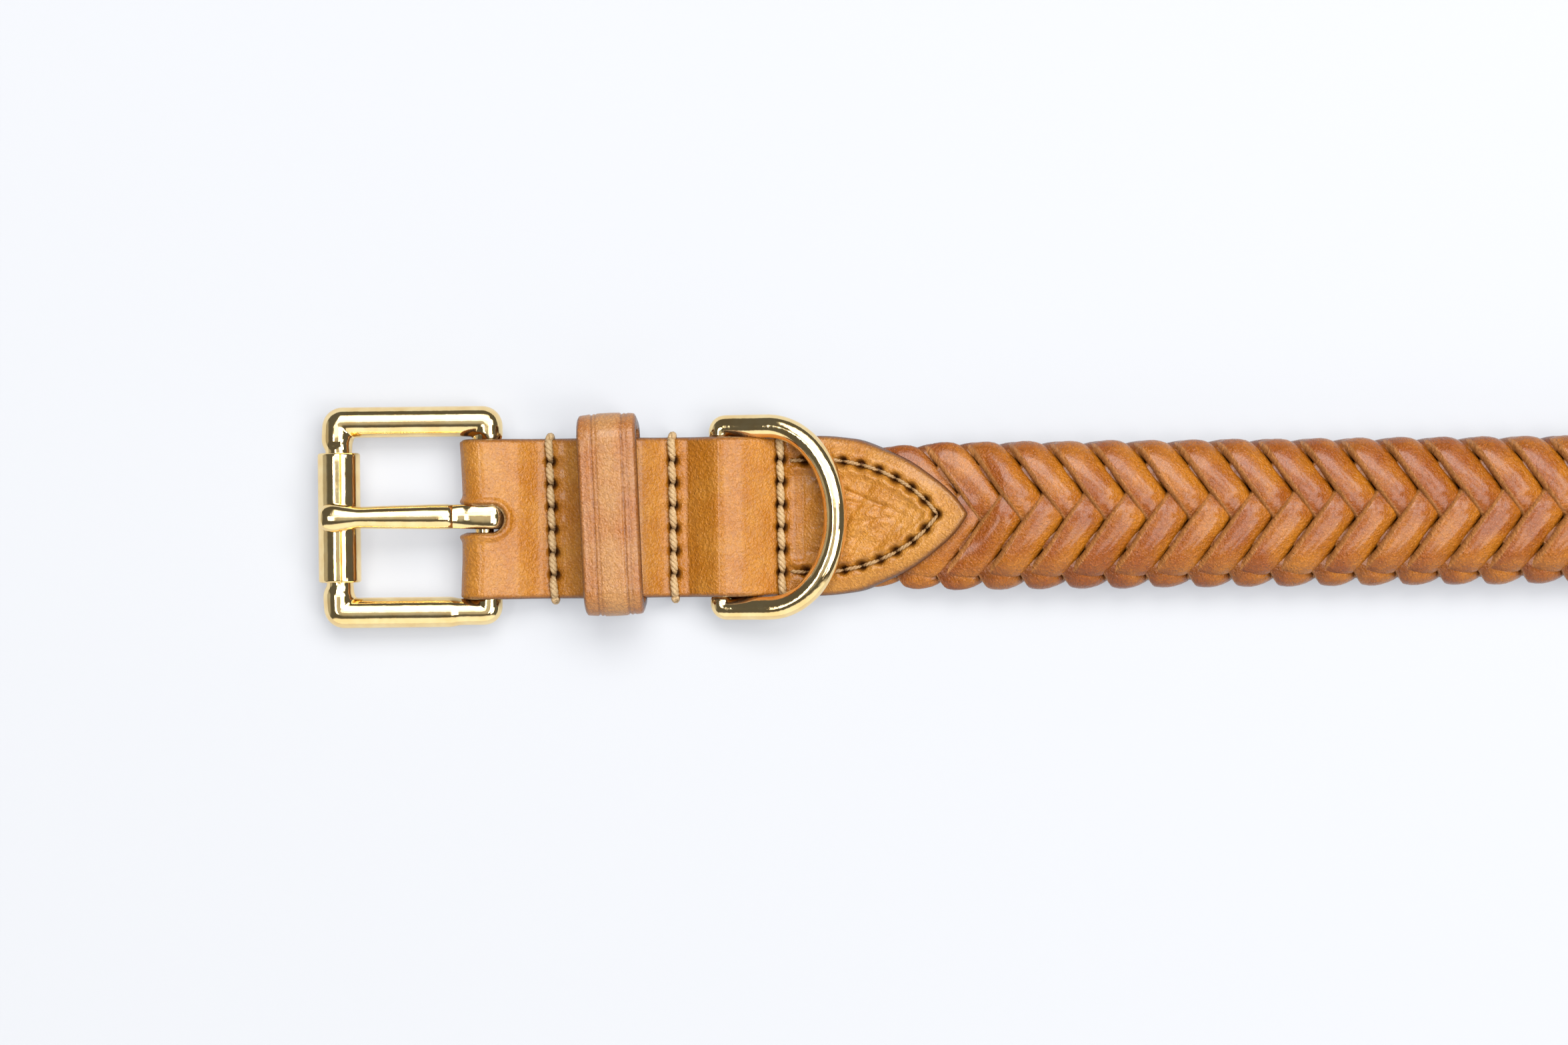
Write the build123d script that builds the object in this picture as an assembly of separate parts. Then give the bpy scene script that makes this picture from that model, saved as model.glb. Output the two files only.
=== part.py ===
from build123d import *
import os

# A plaited leather strap belt with a roller buckle, a sliding keeper and a D-ring,
# lying flat on its back. +X runs from the buckle to the pointed end, +Z is up.
# Lengths are in millimetres. A station is the distance along X from the outer edge of
# the roller, and every piece is built at its station and shifted to the origin last.

# ---- driving dimensions ------------------------------------------------------------

LENGTH = 575.0  # roller to the tip of the billet
STRAP_WIDTH = 25.0
STRAP_HALF = STRAP_WIDTH / 2
LEATHER = 2.2  # chape and backing
LAYER_GAP = 0.05  # air between two layers that are only sewn together
BILLET_THICK = 3.0

# roller buckle
BUCKLE_WIDTH = 34.9
BUCKLE_LEFT = 0.84
BUCKLE_RIGHT = 29.0
WINDOW_WIDTH = 25.8
WINDOW_LEFT = 5.9
WINDOW_RIGHT = 24.0
FRAME_THICK = 4.4
FRAME_CORNER = 3.5
FRAME_ROUND = 1.9
BAR_STATION = 26.2
BAR_HEIGHT = 3.8
BAR_RADIUS = 1.8
ROLLER_RADIUS = 3.35
ROLLER_LENGTH = 20.4
ROLLER_BAR_RADIUS = 2.2
ROLLER_FIT = 0.08
ROLLER_END_GAP = 0.15
PRONG_FIT = 0.06
PRONG_LOOP_RADIUS = 3.2

# leather fold round the heel bar, and the slot that the prong comes through
FOLD_FIT = 0.1
FOLD_LEATHER = 1.9
FOLD_INNER = BAR_RADIUS + FOLD_FIT
FOLD_OUTER = FOLD_INNER + FOLD_LEATHER
SLOT_WIDTH = 5.0
SLOT_END = 31.3

# keeper
KEEPER_STATION = 45.5
KEEPER_LENGTH = 9.4
KEEPER_WIDTH = 31.6
KEEPER_LEATHER = 2.0
KEEPER_BOTTOM = 2.3
KEEPER_TOP = 12.9
KEEPER_LEAN = 2.0  # degrees about Z

# D-ring
RING_STATION = 63.5
RING_HEIGHT = 3.8
RING_WIRE = 1.5
RING_HALF_WIDTH = 14.55
RING_CORNER = 2.0
RING_STRAIGHT = 8.4
RING_REACH = 18.6
RING_REST = 14.5  # degrees above level, where the bow lies on the chape

# stitching
ROW_STATIONS = (36.8, 55.9, 72.9)
STITCHES_ACROSS = 7
THREAD = 0.5
POST = 0.4
ROW_EDGE = 12.45
V_THREAD = 0.35
V_POST = 0.28
V_STITCHES = 9

# pointed overlay at both ends of the plait
V_TIP = 102.0
V_SHOULDER = 78.5
V_WAIST = (92.7, 8.7)
V_SEAM = ((74.0, 8.7), (83.0, 8.6), (90.5, 6.2), (97.4, 0.0))

# plait
PLAIT_WIDTH = 23.3
PLAIT_THICK = 9.0
COVER = 2.6  # two plies of the plaited strands
PLAIT_START = 77.0
PLAIT_FULL = 108.0
CORE_START = 104.0

# bends of the strap: each is a hinge with a little room on both sides of it
PLAIT_BENDS = (118.0, 158.0, 198.0, 238.0, 278.0, 318.0)
PLAIT_BEND_GAP = 2.6
BILLET_BENDS = (404.0, 454.0, 504.0)
BILLET_BEND_GAP = 1.0

# far end of the plait and the billet
FAR_TIP = 352.0
FAR_ROWS = (381.1, 391.0)
BACKING_END = 397.5
HOLE_STATIONS = (416.5, 441.5, 466.5, 491.5, 516.5, 541.5)
HOLE_RADIUS = 2.0
TIP_TAPER = 557.0

# Upper face of the chape's top layer, as (station, height): down from the fold to row 1,
# over the keeper, down to row 2, over the ring's bar, down to row 3, up over the plait.
PRESSED = 2 * LEATHER + LAYER_GAP
RAISED = 6.6
CHAPE_TOP = (
    (BAR_STATION, BAR_HEIGHT + FOLD_OUTER),
    (31.5, 6.3),
    (36.0, PRESSED),
    (37.6, PRESSED),
    (39.4, RAISED),
    (53.4, RAISED),
    (55.1, PRESSED),
    (58.6, PRESSED),
    (61.3, 7.0),
    (63.5, 7.75),
    (65.7, 7.0),
    (68.6, PRESSED),
    (75.5, PRESSED),
    (82.0, 6.6),
    (90.0, 8.2),
    (V_TIP, 9.4),
)

# Upper and lower faces of the billet strap where it comes down off the plait.
BILLET_TOP = (
    (FAR_TIP, 9.4),
    (364.0, 8.2),
    (372.0, 6.6),
    (378.5, 4.75),
    (394.0, 4.9),
    (401.2, BILLET_THICK),
)
BILLET_UNDER = (
    (FAR_TIP, 7.2),
    (364.0, 6.0),
    (372.0, 4.4),
    (378.5, LEATHER + LAYER_GAP),
    (394.0, LEATHER + LAYER_GAP),
    (401.0, 0.0),
)


# ---- helpers -----------------------------------------------------------------------


def side_profile(points, width):
    """The closed outline (station, height), extruded across the strap."""
    face = Plane.XZ * make_face(Polyline(*points, close=True))
    return extrude(face, amount=width / 2, both=True)


def plan(points, height=20.0):
    """The closed outline (station, y), extruded up and down."""
    return extrude(make_face(Polyline(*points, close=True)), amount=height, both=True)


def height_on(line, station):
    """The height of a (station, height) line at one station."""
    for (x0, z0), (x1, z1) in zip(line, line[1:]):
        if x0 <= station <= x1:
            return z0 + (z1 - z0) * (station - x0) / (x1 - x0)
    raise ValueError(f"station {station} is off the line")


def rod(start, end, radius):
    """A round bar from one point to another."""
    run = Vector(end) - Vector(start)
    here = Plane(origin=start, z_dir=run)
    return here * Cylinder(
        radius, run.length, align=(Align.CENTER, Align.CENTER, Align.MIN)
    )


def oval_bar(width, thick, start, end, middle=PLAIT_THICK / 2):
    """A bar along X with a flattened round section."""
    plane = Plane(origin=(start, 0, middle), x_dir=(0, 1, 0), z_dir=(1, 0, 0))
    section = plane * RectangleRounded(width, thick, thick * 0.48)
    return extrude(section, amount=end - start)


def pointed_plan(tip, shoulder, far, waist):
    """A strap's plan outline, straight from far to the shoulder, then to a point."""
    side = Spline(
        (shoulder, STRAP_HALF),
        waist,
        (tip, 0),
        tangents=[(tip - shoulder, 0), (0.6 * (tip - shoulder), -22.0)],
    )
    other = mirror(side, about=Plane.XZ)
    back = Polyline(
        (shoulder, STRAP_HALF), (far, STRAP_HALF), (far, -STRAP_HALF), (shoulder, -STRAP_HALF)
    )
    return extrude(make_face(side + other + back), amount=20.0, both=True)


# ---- buckle ------------------------------------------------------------------------


def buckle_frame():
    """One casting: side bars, heel bar, and two arms that hold the roller's bar."""
    outer = Pos((BUCKLE_LEFT + BUCKLE_RIGHT) / 2, 0, 0) * RectangleRounded(
        BUCKLE_RIGHT - BUCKLE_LEFT, BUCKLE_WIDTH, FRAME_CORNER
    )
    window = Pos((WINDOW_LEFT + WINDOW_RIGHT) / 2, 0, 0) * RectangleRounded(
        WINDOW_RIGHT - WINDOW_LEFT, WINDOW_WIDTH, FRAME_ROUND
    )
    ring = extrude(outer - window, amount=FRAME_THICK / 2, both=True)
    ring = fillet(ring.edges().group_by(Axis.Z)[0], FRAME_ROUND)
    ring = fillet(ring.edges().group_by(Axis.Z)[-1], FRAME_ROUND)
    ring = Pos(0, 0, BAR_HEIGHT) * ring

    arm_end = ROLLER_LENGTH / 2 + ROLLER_END_GAP
    roller_room = Pos(WINDOW_LEFT / 2, 0, BAR_HEIGHT) * Box(
        WINDOW_LEFT + 2.0, 2 * arm_end, 2 * FRAME_THICK
    )
    heel_room = Pos(WINDOW_RIGHT + 2.5, 0, BAR_HEIGHT) * Box(
        9.0, WINDOW_WIDTH, 2 * FRAME_THICK
    )
    embed = 0.8
    roller_bar = rod(
        (ROLLER_RADIUS, -arm_end - embed, BAR_HEIGHT),
        (ROLLER_RADIUS, arm_end + embed, BAR_HEIGHT),
        ROLLER_BAR_RADIUS,
    )
    heel_end = WINDOW_WIDTH / 2 + embed
    heel_bar = rod(
        (BAR_STATION, -heel_end, BAR_HEIGHT), (BAR_STATION, heel_end, BAR_HEIGHT), BAR_RADIUS
    )
    return ring - roller_room - heel_room + roller_bar + heel_bar


def roller():
    """A rolled tube with a shallow line where its edges meet."""
    seam_width = 0.2
    half = ROLLER_LENGTH / 2
    tube = rod(
        (ROLLER_RADIUS, -half, BAR_HEIGHT), (ROLLER_RADIUS, half, BAR_HEIGHT), ROLLER_RADIUS
    )
    bore = rod(
        (ROLLER_RADIUS, -half - 1, BAR_HEIGHT),
        (ROLLER_RADIUS, half + 1, BAR_HEIGHT),
        ROLLER_BAR_RADIUS + ROLLER_FIT,
    )
    seam = Pos(2 * ROLLER_RADIUS, 0, BAR_HEIGHT) * Box(0.5, ROLLER_LENGTH, seam_width)
    return tube - bore - seam


def prong():
    """A tongue bent round the heel bar, resting on the roller, with a rounded tip."""
    loop = rod((BAR_STATION, -4, BAR_HEIGHT), (BAR_STATION, 4, BAR_HEIGHT), PRONG_LOOP_RADIUS)
    shank = side_profile(
        (
            (BAR_STATION, BAR_HEIGHT + PRONG_LOOP_RADIUS),
            (21.6, 8.0),
            (8.0, 9.5),
            (3.0, 9.6),
            (0.7, 8.7),
            (0.0, 7.2),
            (0.5, 6.5),
            (1.2, 6.9),
            (ROLLER_RADIUS, 7.3),
            (8.0, 6.9),
            (20.0, 5.2),
            (23.6, 4.4),
        ),
        8.0,
    )
    bore = rod(
        (BAR_STATION, -5, BAR_HEIGHT), (BAR_STATION, 5, BAR_HEIGHT), BAR_RADIUS + PRONG_FIT
    )
    half = [(-0.2, 1.0), (0.6, 1.9), (2.4, 2.2), (4.2, 1.9), (5.6, 1.6), (9.0, 1.85)]
    half += [(20.0, 1.85), (21.4, 1.95), (30.0, 1.95)]
    outline = plan(half + [(x, -y) for x, y in reversed(half)])
    return (loop + shank - bore) & outline


# ---- chape: one strap folded round the heel bar -------------------------------------


def chape_strap():
    """Under layer, fold and top layer in one piece, pointed at both free ends."""
    x, z = BAR_STATION, BAR_HEIGHT
    under_top = [(x + 0.0, z - FOLD_INNER), (33.0, LEATHER), (V_TIP, LEATHER)]
    top_under = [(x, z + FOLD_INNER)]
    top_under += [(s, h - LEATHER) for s, h in CHAPE_TOP[1:]]
    outer_fold = ThreePointArc((x, z - FOLD_OUTER), (x - FOLD_OUTER, z), (x, z + FOLD_OUTER))
    inner_fold = ThreePointArc((x, z - FOLD_INNER), (x - FOLD_INNER, z), (x, z + FOLD_INNER))
    outline = (
        Polyline((V_TIP, LEATHER), (V_TIP, 0), (x, z - FOLD_OUTER))
        + outer_fold
        + Polyline(*CHAPE_TOP, top_under[-1])
        + Polyline(*top_under)
        + inner_fold
        + Polyline(*under_top)
    )
    layers = extrude(Plane.XZ * make_face(outline), amount=STRAP_HALF, both=True)
    start = x - FOLD_OUTER - 1
    pointed = pointed_plan(V_TIP, V_SHOULDER, start, V_WAIST)
    slot_centre = SLOT_END - SLOT_WIDTH / 2
    slot = Pos(slot_centre - 10, 0, z) * Box(20.0, SLOT_WIDTH, 20.0)
    slot += Pos(slot_centre, 0, z) * Cylinder(SLOT_WIDTH / 2, 20.0)
    return (layers & pointed) - slot


def keeper():
    """A loop of leather round the top layer, free to slide between rows 1 and 2."""
    middle = (KEEPER_BOTTOM + KEEPER_TOP) / 2
    plane = Plane(
        origin=(-KEEPER_LENGTH / 2, 0, middle), x_dir=(0, 1, 0), z_dir=(1, 0, 0)
    )
    height = KEEPER_TOP - KEEPER_BOTTOM
    inner_width = KEEPER_WIDTH - 2 * KEEPER_LEATHER
    band = RectangleRounded(KEEPER_WIDTH, height, 3.2) - RectangleRounded(
        inner_width, height - 2 * KEEPER_LEATHER, 1.4
    )
    loop = extrude(plane * band, amount=KEEPER_LENGTH)
    return Pos(KEEPER_STATION, 0, 0) * Rot(0, 0, KEEPER_LEAN) * loop


def keeper_seam():
    """Thread that draws the keeper's two cut ends together, inside the chape."""
    middle = KEEPER_BOTTOM + KEEPER_LEATHER / 2
    thread, reach = 0.35, 2.4
    bars = [
        rod((x, -reach, middle), (x, reach, middle), thread) for x in (-2.4, 0.0, 2.4)
    ]
    bars.append(rod((-3.0, 0, middle), (3.0, 0, middle), thread * 1.2))
    seam = Part() + bars
    return Pos(KEEPER_STATION, 0, 0) * Rot(0, 0, KEEPER_LEAN) * seam


def stitch_row(station, top):
    """Thick thread sewn straight across the strap, over and under, round both edges."""
    pitch = 2 * ROW_EDGE / STITCHES_ACROSS
    holes = [-ROW_EDGE + i * pitch for i in range(STITCHES_ACROSS + 1)]
    high, low = top + 0.1, THREAD
    thread = Part() + [
        rod((station, holes[0], z), (station, holes[-1], z), THREAD) for z in (high, low)
    ]
    posts = [rod((station, y, low), (station, y, high), POST) for y in holes]
    return thread + posts


def v_stitching(line, to_station):
    """Fine thread that follows the pointed outline and meets at its apex."""
    leg = Spline(*V_SEAM)
    points = [leg.position_at(i / V_STITCHES) for i in range(V_STITCHES + 1)]
    half = [(p.X, p.Y) for p in points]
    route = half + [(x, -y) for x, y in reversed(half[:-1])]
    route = [(to_station(x), y) for x, y in route]
    high = [(x, y, height_on(line, x)) for x, y in route]
    low = [(x, y, V_THREAD) for x, y in route]
    pieces = [rod(low[i], high[i], V_POST) for i in range(len(route))]
    for run in (high, low):
        pieces += [rod(a, b, V_THREAD) for a, b in zip(run, run[1:])]
        pieces += [Pos(*p) * Sphere(V_THREAD) for p in run]
    return Part() + pieces


# ---- D-ring ------------------------------------------------------------------------


def d_ring():
    """Round wire bent to a D, its straight bar in the tunnel between rows 2 and 3."""
    w, c = RING_HALF_WIDTH, RING_CORNER
    bow = RING_REACH - RING_STRAIGHT
    half_turn = EllipticalCenterArc((RING_STRAIGHT, 0), bow, w, start_angle=-90, arc_size=180)
    lower = Line((c, -w), (RING_STRAIGHT, -w))
    upper = Line((RING_STRAIGHT, w), (c, w))
    corner_up = RadiusArc((c, w), (0, w - c), -c)
    bar = Line((0, w - c), (0, -w + c))
    corner_down = RadiusArc((0, -w + c), (c, -w), -c)
    path = Wire([lower, half_turn.edge(), upper, corner_up, bar, corner_down])
    section = Plane(origin=(0, 0, 0), z_dir=(0, 1, 0)) * Circle(RING_WIRE)
    wire = sweep(section, path=path)
    return Pos(RING_STATION, 0, RING_HEIGHT) * Rot(0, -RING_REST, 0) * wire


# ---- plait -------------------------------------------------------------------------


def plait_end(tip, direction):
    """Room for the plait where it thins down between the pointed layers."""
    def at(station):
        return tip + direction * (station - V_TIP)

    top_under = [(s, h - LEATHER) for s, h in CHAPE_TOP if s > PLAIT_START]
    start_height = height_on(CHAPE_TOP, PLAIT_START) - LEATHER
    points = [(PLAIT_START, LEATHER), (PLAIT_START, start_height)]
    points += top_under
    points += [(PLAIT_FULL, PLAIT_THICK), (200.0, PLAIT_THICK), (200.0, 0)]
    points += [(PLAIT_FULL, 0), (V_TIP + 0.3, LEATHER)]
    return side_profile([(at(s), z) for s, z in points], PLAIT_WIDTH)


def plait_sections():
    """The plait cut at its bends: a list of (name, cover, core)."""
    half_gap = PLAIT_BEND_GAP / 2
    mirror_at = FAR_TIP + V_TIP
    starts = [PLAIT_START] + [b + half_gap for b in PLAIT_BENDS]
    ends = [b - half_gap for b in PLAIT_BENDS] + [mirror_at - PLAIT_START]
    core_starts = [CORE_START] + starts[1:]
    core_ends = ends[:-1] + [mirror_at - CORE_START]
    sections = []
    for i, (start, end) in enumerate(zip(starts, ends)):
        core = oval_bar(
            PLAIT_WIDTH - 2 * COVER, PLAIT_THICK - 2 * COVER, core_starts[i], core_ends[i]
        )
        cover = oval_bar(PLAIT_WIDTH, PLAIT_THICK, start, end)
        if i == 0:
            cover = cover & plait_end(V_TIP, 1)
        if i == len(PLAIT_BENDS):
            cover = cover & plait_end(FAR_TIP, -1)
        sections.append((i, cover - core, core))
    return sections


# ---- billet ------------------------------------------------------------------------


def billet_point():
    """Plan outline of the billet's rounded point."""
    blunt = 3.0
    side = Spline(
        (TIP_TAPER, STRAP_HALF),
        (LENGTH - 5.0, 8.2),
        (LENGTH, 0),
        tangents=[(1, 0), (0, -1)],
        tangent_scalars=[1.0, blunt / 2],
    )
    back = Polyline(
        (TIP_TAPER, STRAP_HALF), (480.0, STRAP_HALF), (480.0, -STRAP_HALF), (TIP_TAPER, -STRAP_HALF)
    )
    outline = make_face(side + mirror(side, about=Plane.XZ) + back)
    return extrude(outline, amount=20.0, both=True)


def billet_root():
    """The billet where it lies on the plait, comes down and runs to its first bend."""
    end = BILLET_BENDS[0] - BILLET_BEND_GAP / 2
    points = list(BILLET_TOP) + [(end, BILLET_THICK), (end, 0)]
    points += list(reversed(BILLET_UNDER))
    strap = side_profile(points, STRAP_WIDTH)
    shoulder = FAR_TIP + V_TIP - V_SHOULDER
    waist = (FAR_TIP + V_TIP - V_WAIST[0], V_WAIST[1])
    return strap & pointed_plan(FAR_TIP, shoulder, end + 1, waist)


def backing():
    """The pointed under layer at the billet's end of the plait."""
    shoulder = FAR_TIP + V_TIP - V_SHOULDER
    waist = (FAR_TIP + V_TIP - V_WAIST[0], V_WAIST[1])
    skived = 0.7
    layer = side_profile(
        (
            (FAR_TIP, 0),
            (FAR_TIP, LEATHER),
            (393.5, LEATHER),
            (BACKING_END, skived),
            (BACKING_END, 0),
        ),
        STRAP_WIDTH,
    )
    return layer & pointed_plan(FAR_TIP, shoulder, BACKING_END + 1, waist)


def billet_sections():
    """The flat billet cut at its bends, with its holes."""
    half_gap = BILLET_BEND_GAP / 2
    ends = [b - half_gap for b in BILLET_BENDS[1:]] + [LENGTH]
    sections = []
    for start, end in zip(BILLET_BENDS, ends):
        start += half_gap
        piece = Pos((start + end) / 2, 0, BILLET_THICK / 2) * Box(
            end - start, STRAP_WIDTH, BILLET_THICK
        )
        for station in HOLE_STATIONS:
            if start < station < end:
                piece -= Pos(station, 0, 0) * Cylinder(HOLE_RADIUS, 4 * BILLET_THICK)
        if end == LENGTH:
            piece = piece & billet_point()
        sections.append(piece)
    return sections


# ---- the whole part ----------------------------------------------------------------

nodes = {
    "buckle_frame": buckle_frame(),
    "roller": roller(),
    "prong": prong(),
    "chape_strap": chape_strap(),
    "keeper": keeper(),
    "keeper_seam": keeper_seam(),
    "d_ring": d_ring(),
    "v_stitching_front": v_stitching(CHAPE_TOP, lambda x: x),
    "billet_root": billet_root(),
    "backing": backing(),
    "v_stitching_far": v_stitching(BILLET_TOP, lambda x: FAR_TIP + V_TIP - x),
}
for number, station in enumerate(ROW_STATIONS, 1):
    nodes[f"stitch_row_{number}"] = stitch_row(station, height_on(CHAPE_TOP, station))
for number, station in enumerate(FAR_ROWS, len(ROW_STATIONS) + 1):
    nodes[f"stitch_row_{number}"] = stitch_row(station, height_on(BILLET_TOP, station))
for number, cover, core in plait_sections():
    nodes[f"plait_cover_{number}"] = cover
    nodes[f"plait_core_{number}"] = core
for number, piece in enumerate(billet_sections(), 1):
    nodes[f"billet_{number}"] = piece

os.makedirs("parts", exist_ok=True)
for name, shape in nodes.items():
    export_step(Pos(-LENGTH / 2, 0, 0) * shape, f"parts/{name}.step")
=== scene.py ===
import math

import bpy
import numpy as np
from mathutils import Matrix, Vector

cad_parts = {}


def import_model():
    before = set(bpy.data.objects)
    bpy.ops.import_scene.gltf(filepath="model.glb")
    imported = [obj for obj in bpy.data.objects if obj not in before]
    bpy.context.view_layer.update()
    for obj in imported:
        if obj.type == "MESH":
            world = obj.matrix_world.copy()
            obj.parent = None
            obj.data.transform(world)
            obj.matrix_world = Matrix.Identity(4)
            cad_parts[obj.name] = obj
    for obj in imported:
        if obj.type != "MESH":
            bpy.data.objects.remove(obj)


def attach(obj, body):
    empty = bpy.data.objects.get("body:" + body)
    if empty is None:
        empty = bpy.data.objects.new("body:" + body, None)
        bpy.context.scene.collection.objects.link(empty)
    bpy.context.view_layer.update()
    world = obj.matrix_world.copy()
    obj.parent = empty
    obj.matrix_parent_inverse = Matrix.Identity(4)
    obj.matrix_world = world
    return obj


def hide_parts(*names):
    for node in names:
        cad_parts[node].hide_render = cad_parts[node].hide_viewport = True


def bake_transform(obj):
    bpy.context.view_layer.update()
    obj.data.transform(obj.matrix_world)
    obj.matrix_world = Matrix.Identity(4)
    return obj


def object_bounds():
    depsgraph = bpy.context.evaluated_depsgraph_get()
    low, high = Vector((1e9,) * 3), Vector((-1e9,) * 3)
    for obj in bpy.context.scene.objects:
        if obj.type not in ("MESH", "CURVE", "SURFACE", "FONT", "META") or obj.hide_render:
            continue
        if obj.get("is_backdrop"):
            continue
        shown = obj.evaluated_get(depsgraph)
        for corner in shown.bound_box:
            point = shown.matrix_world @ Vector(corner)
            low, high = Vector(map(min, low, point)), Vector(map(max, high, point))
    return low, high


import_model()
cad_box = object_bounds()

# A plaited leather strap belt with a roller buckle, a keeper and a D-ring.
# Mesh work is in millimetres. A station is the distance along X from the roller's outer
# edge, as in the CAD model, and place() turns it into the frame's metres.

MM = 0.001
LENGTH = 575.0  # roller to the tip of the billet
CAD_MIDDLE = LENGTH / 2  # the station of the frame's origin

# leather, threads and the roller buckle
STRAP_HALF = 12.5
LEATHER = 2.2
LAYER_GAP = 0.05
PRESSED = 2 * LEATHER + LAYER_GAP  # top of two layers sewn tight together
BILLET_THICK = 3.0
BAR_STATION, BAR_HEIGHT, FOLD_OUTER = 26.2, 3.8, 3.8
FOLD_LEATHER = 1.9  # the strap is thinned where it turns round the heel bar
ROLLER_RADIUS, ROLLER_LENGTH, ROLLER_BORE = 3.35, 20.4, 2.28
SLOT_HALF, SLOT_END = 2.16, 29.5  # the prong's slot
BUCKLE_ASIDE = 0.48  # the buckle and the keeper lie a little off the strap's centre line
KEEPER_ASIDE = (0.95, 0.55)
RING_STATION, RING_HEIGHT = 63.5, 3.8

# pointed ends on the plait, rows of stitches, bends and the billet's holes
V_TIP, V_SHOULDER = 102.0, 78.5
FAR_TIP = 352.0
MIRROR = FAR_TIP + V_TIP  # a far station is MIRROR minus the near one
ROWS = (36.8, 55.9, 72.9)
ROW_TILTS = (1.3, 0.5, 0.3)  # degrees
FAR_ROWS = (381.1, 391.0)
FAR_ROW_TILT = 0.4
ROW_EDGE = 12.45
STITCHES = 7
V_STITCHES = 9
PLAIT_THICK = 9.0
PLAIT_BENDS = (118.0, 158.0, 198.0, 238.0, 278.0, 318.0)
BILLET_BENDS = (404.0, 454.0, 504.0)
PLAIT_BODIES = ["chape"] + [f"plait_{i}" for i in range(1, 6)] + ["billet_join"]
BILLET_CUTS = (429.0, 479.0)  # half way between the billet's bends
BACKING_END = 397.5
HOLES = (416.5, 441.5, 466.5, 491.5, 516.5, 541.5)
HOLE_RADIUS = 2.0
BLEND_REACH = 8.0  # how far each side of a bend the leather would take to turn; finish_across works out points from it that are not used

# Profiles as (station, height): the chape's upper face and the billet's, then the space
# that the plait fills. The outlines that follow are (station, distance from the middle).
CHAPE_TOP = (
    (26.2, 7.6), (31.5, 6.3), (35.6, PRESSED), (37.4, PRESSED), (43.0, 6.2), (50.4, 6.5),
    (55.2, PRESSED), (57.8, PRESSED), (60.4, 6.1), (63.5, 7.75), (66.3, 7.2), (69.6, 5.9),
    (72.9, PRESSED), (75.5, PRESSED), (82.0, 6.6), (90.0, 8.2), (102.0, 9.4), (106.0, 9.6),
)
BILLET_TOP = (
    (348.0, 9.6), (352.0, 9.4), (364.0, 8.2), (372.0, 6.6), (378.5, 4.75), (394.0, 4.9),
    (401.2, 3.0), (580.0, 3.0),
)
PLAIT_CEILING = ((77.0, 2.6), (82.0, 4.4), (90.0, 6.0), (102.0, 7.3), (108.0, 9.0))
PLAIT_FLOOR = ((77.0, 2.2), (102.5, 2.2), (108.0, 0.0))
V_OUTLINE = (
    (70.0, 12.5), (78.5, 12.5), (84.3, 12.0), (89.1, 10.3), (92.7, 8.6), (97.3, 5.3),
    (100.0, 2.8), (102.0, 0.0), (104.0, -3.6),
)
V_SEAM = (
    (74.0, 8.7), (79.0, 8.9), (83.0, 8.5), (87.0, 7.5), (91.0, 5.7), (94.6, 3.2), (97.4, 0.0),
)
BILLET_POINT = (
    (540.0, 12.5), (555.0, 12.5), (564.0, 11.2), (570.5, 7.6), (574.0, 3.4), (575.0, 0.0),
    (576.0, -6.0),
)


# ---- numbers to curves ---------------------------------------------------------------


def curve(points):
    """A smooth function through the points, with no overshoot between them."""
    xs, ys = (np.array(c, float) for c in zip(*points))
    step = np.diff(xs)
    rise = np.diff(ys) / step
    slope = np.zeros(len(xs))
    slope[0], slope[-1] = rise[0], rise[-1]
    same = rise[:-1] * rise[1:] > 0
    harmonic = 2 * rise[:-1] * rise[1:] / np.where(same, rise[:-1] + rise[1:], 1.0)
    slope[1:-1] = np.where(same, harmonic, 0.0)

    def at(x):
        x = np.clip(np.asarray(x, float), xs[0], xs[-1])
        i = np.clip(np.searchsorted(xs, x) - 1, 0, len(step) - 1)
        t = (x - xs[i]) / step[i]
        a = (1 + 2 * t) * (1 - t) ** 2 * ys[i] + t * (1 - t) ** 2 * step[i] * slope[i]
        b = t * t * (3 - 2 * t) * ys[i + 1] + t * t * (t - 1) * step[i] * slope[i + 1]
        return a + b

    return at


def smoothstep(low, high, x):
    """0 up to low, 1 from high on, with a soft rise between. low may be the larger one."""
    t = np.clip((np.asarray(x, float) - low) / (high - low), 0, 1)
    return t * t * (3 - 2 * t)


def bump(x, width):
    """1 at 0, fading away on both sides."""
    return np.exp(-((np.asarray(x, float) / width) ** 2))


def arc_lengths(path):
    return np.concatenate([[0], np.cumsum(np.linalg.norm(np.diff(path, axis=0), axis=1))])


def distance_to(points, x, y):
    """How far each (x, y) is from the nearest of the points."""
    nearest = np.full(np.shape(x), 1e9)
    for px, py in points:
        nearest = np.minimum(nearest, np.hypot(x - px, y - py))
    return nearest


def edge_distance(half_width, x, y):
    """About how far outside an outline y is, from the outline's half width along x."""
    slope = (half_width(x + 0.05) - half_width(x - 0.05)) / 0.1
    return (np.abs(y) - half_width(x)) / np.sqrt(1 + slope**2)


def resample(path, step):
    """The path with points one step apart."""
    path = np.asarray(path, float)
    along = arc_lengths(path)
    count = max(2, int(round(along[-1] / step)) + 1)
    target = np.linspace(0, along[-1], count)
    return np.stack([np.interp(target, along, path[:, k]) for k in range(path.shape[1])], 1)


def wave(x, seed):
    """A slow, repeatable wander between about -1 and 1."""
    x = np.asarray(x, float)
    slow = np.sin(x + 1.7 * seed)
    middling = 0.6 * np.sin(2.3 * x + 4.1 * seed)
    quick = 0.4 * np.sin(4.7 * x + 2.9 * seed)
    return (slow + middling + quick) / 2


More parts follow.
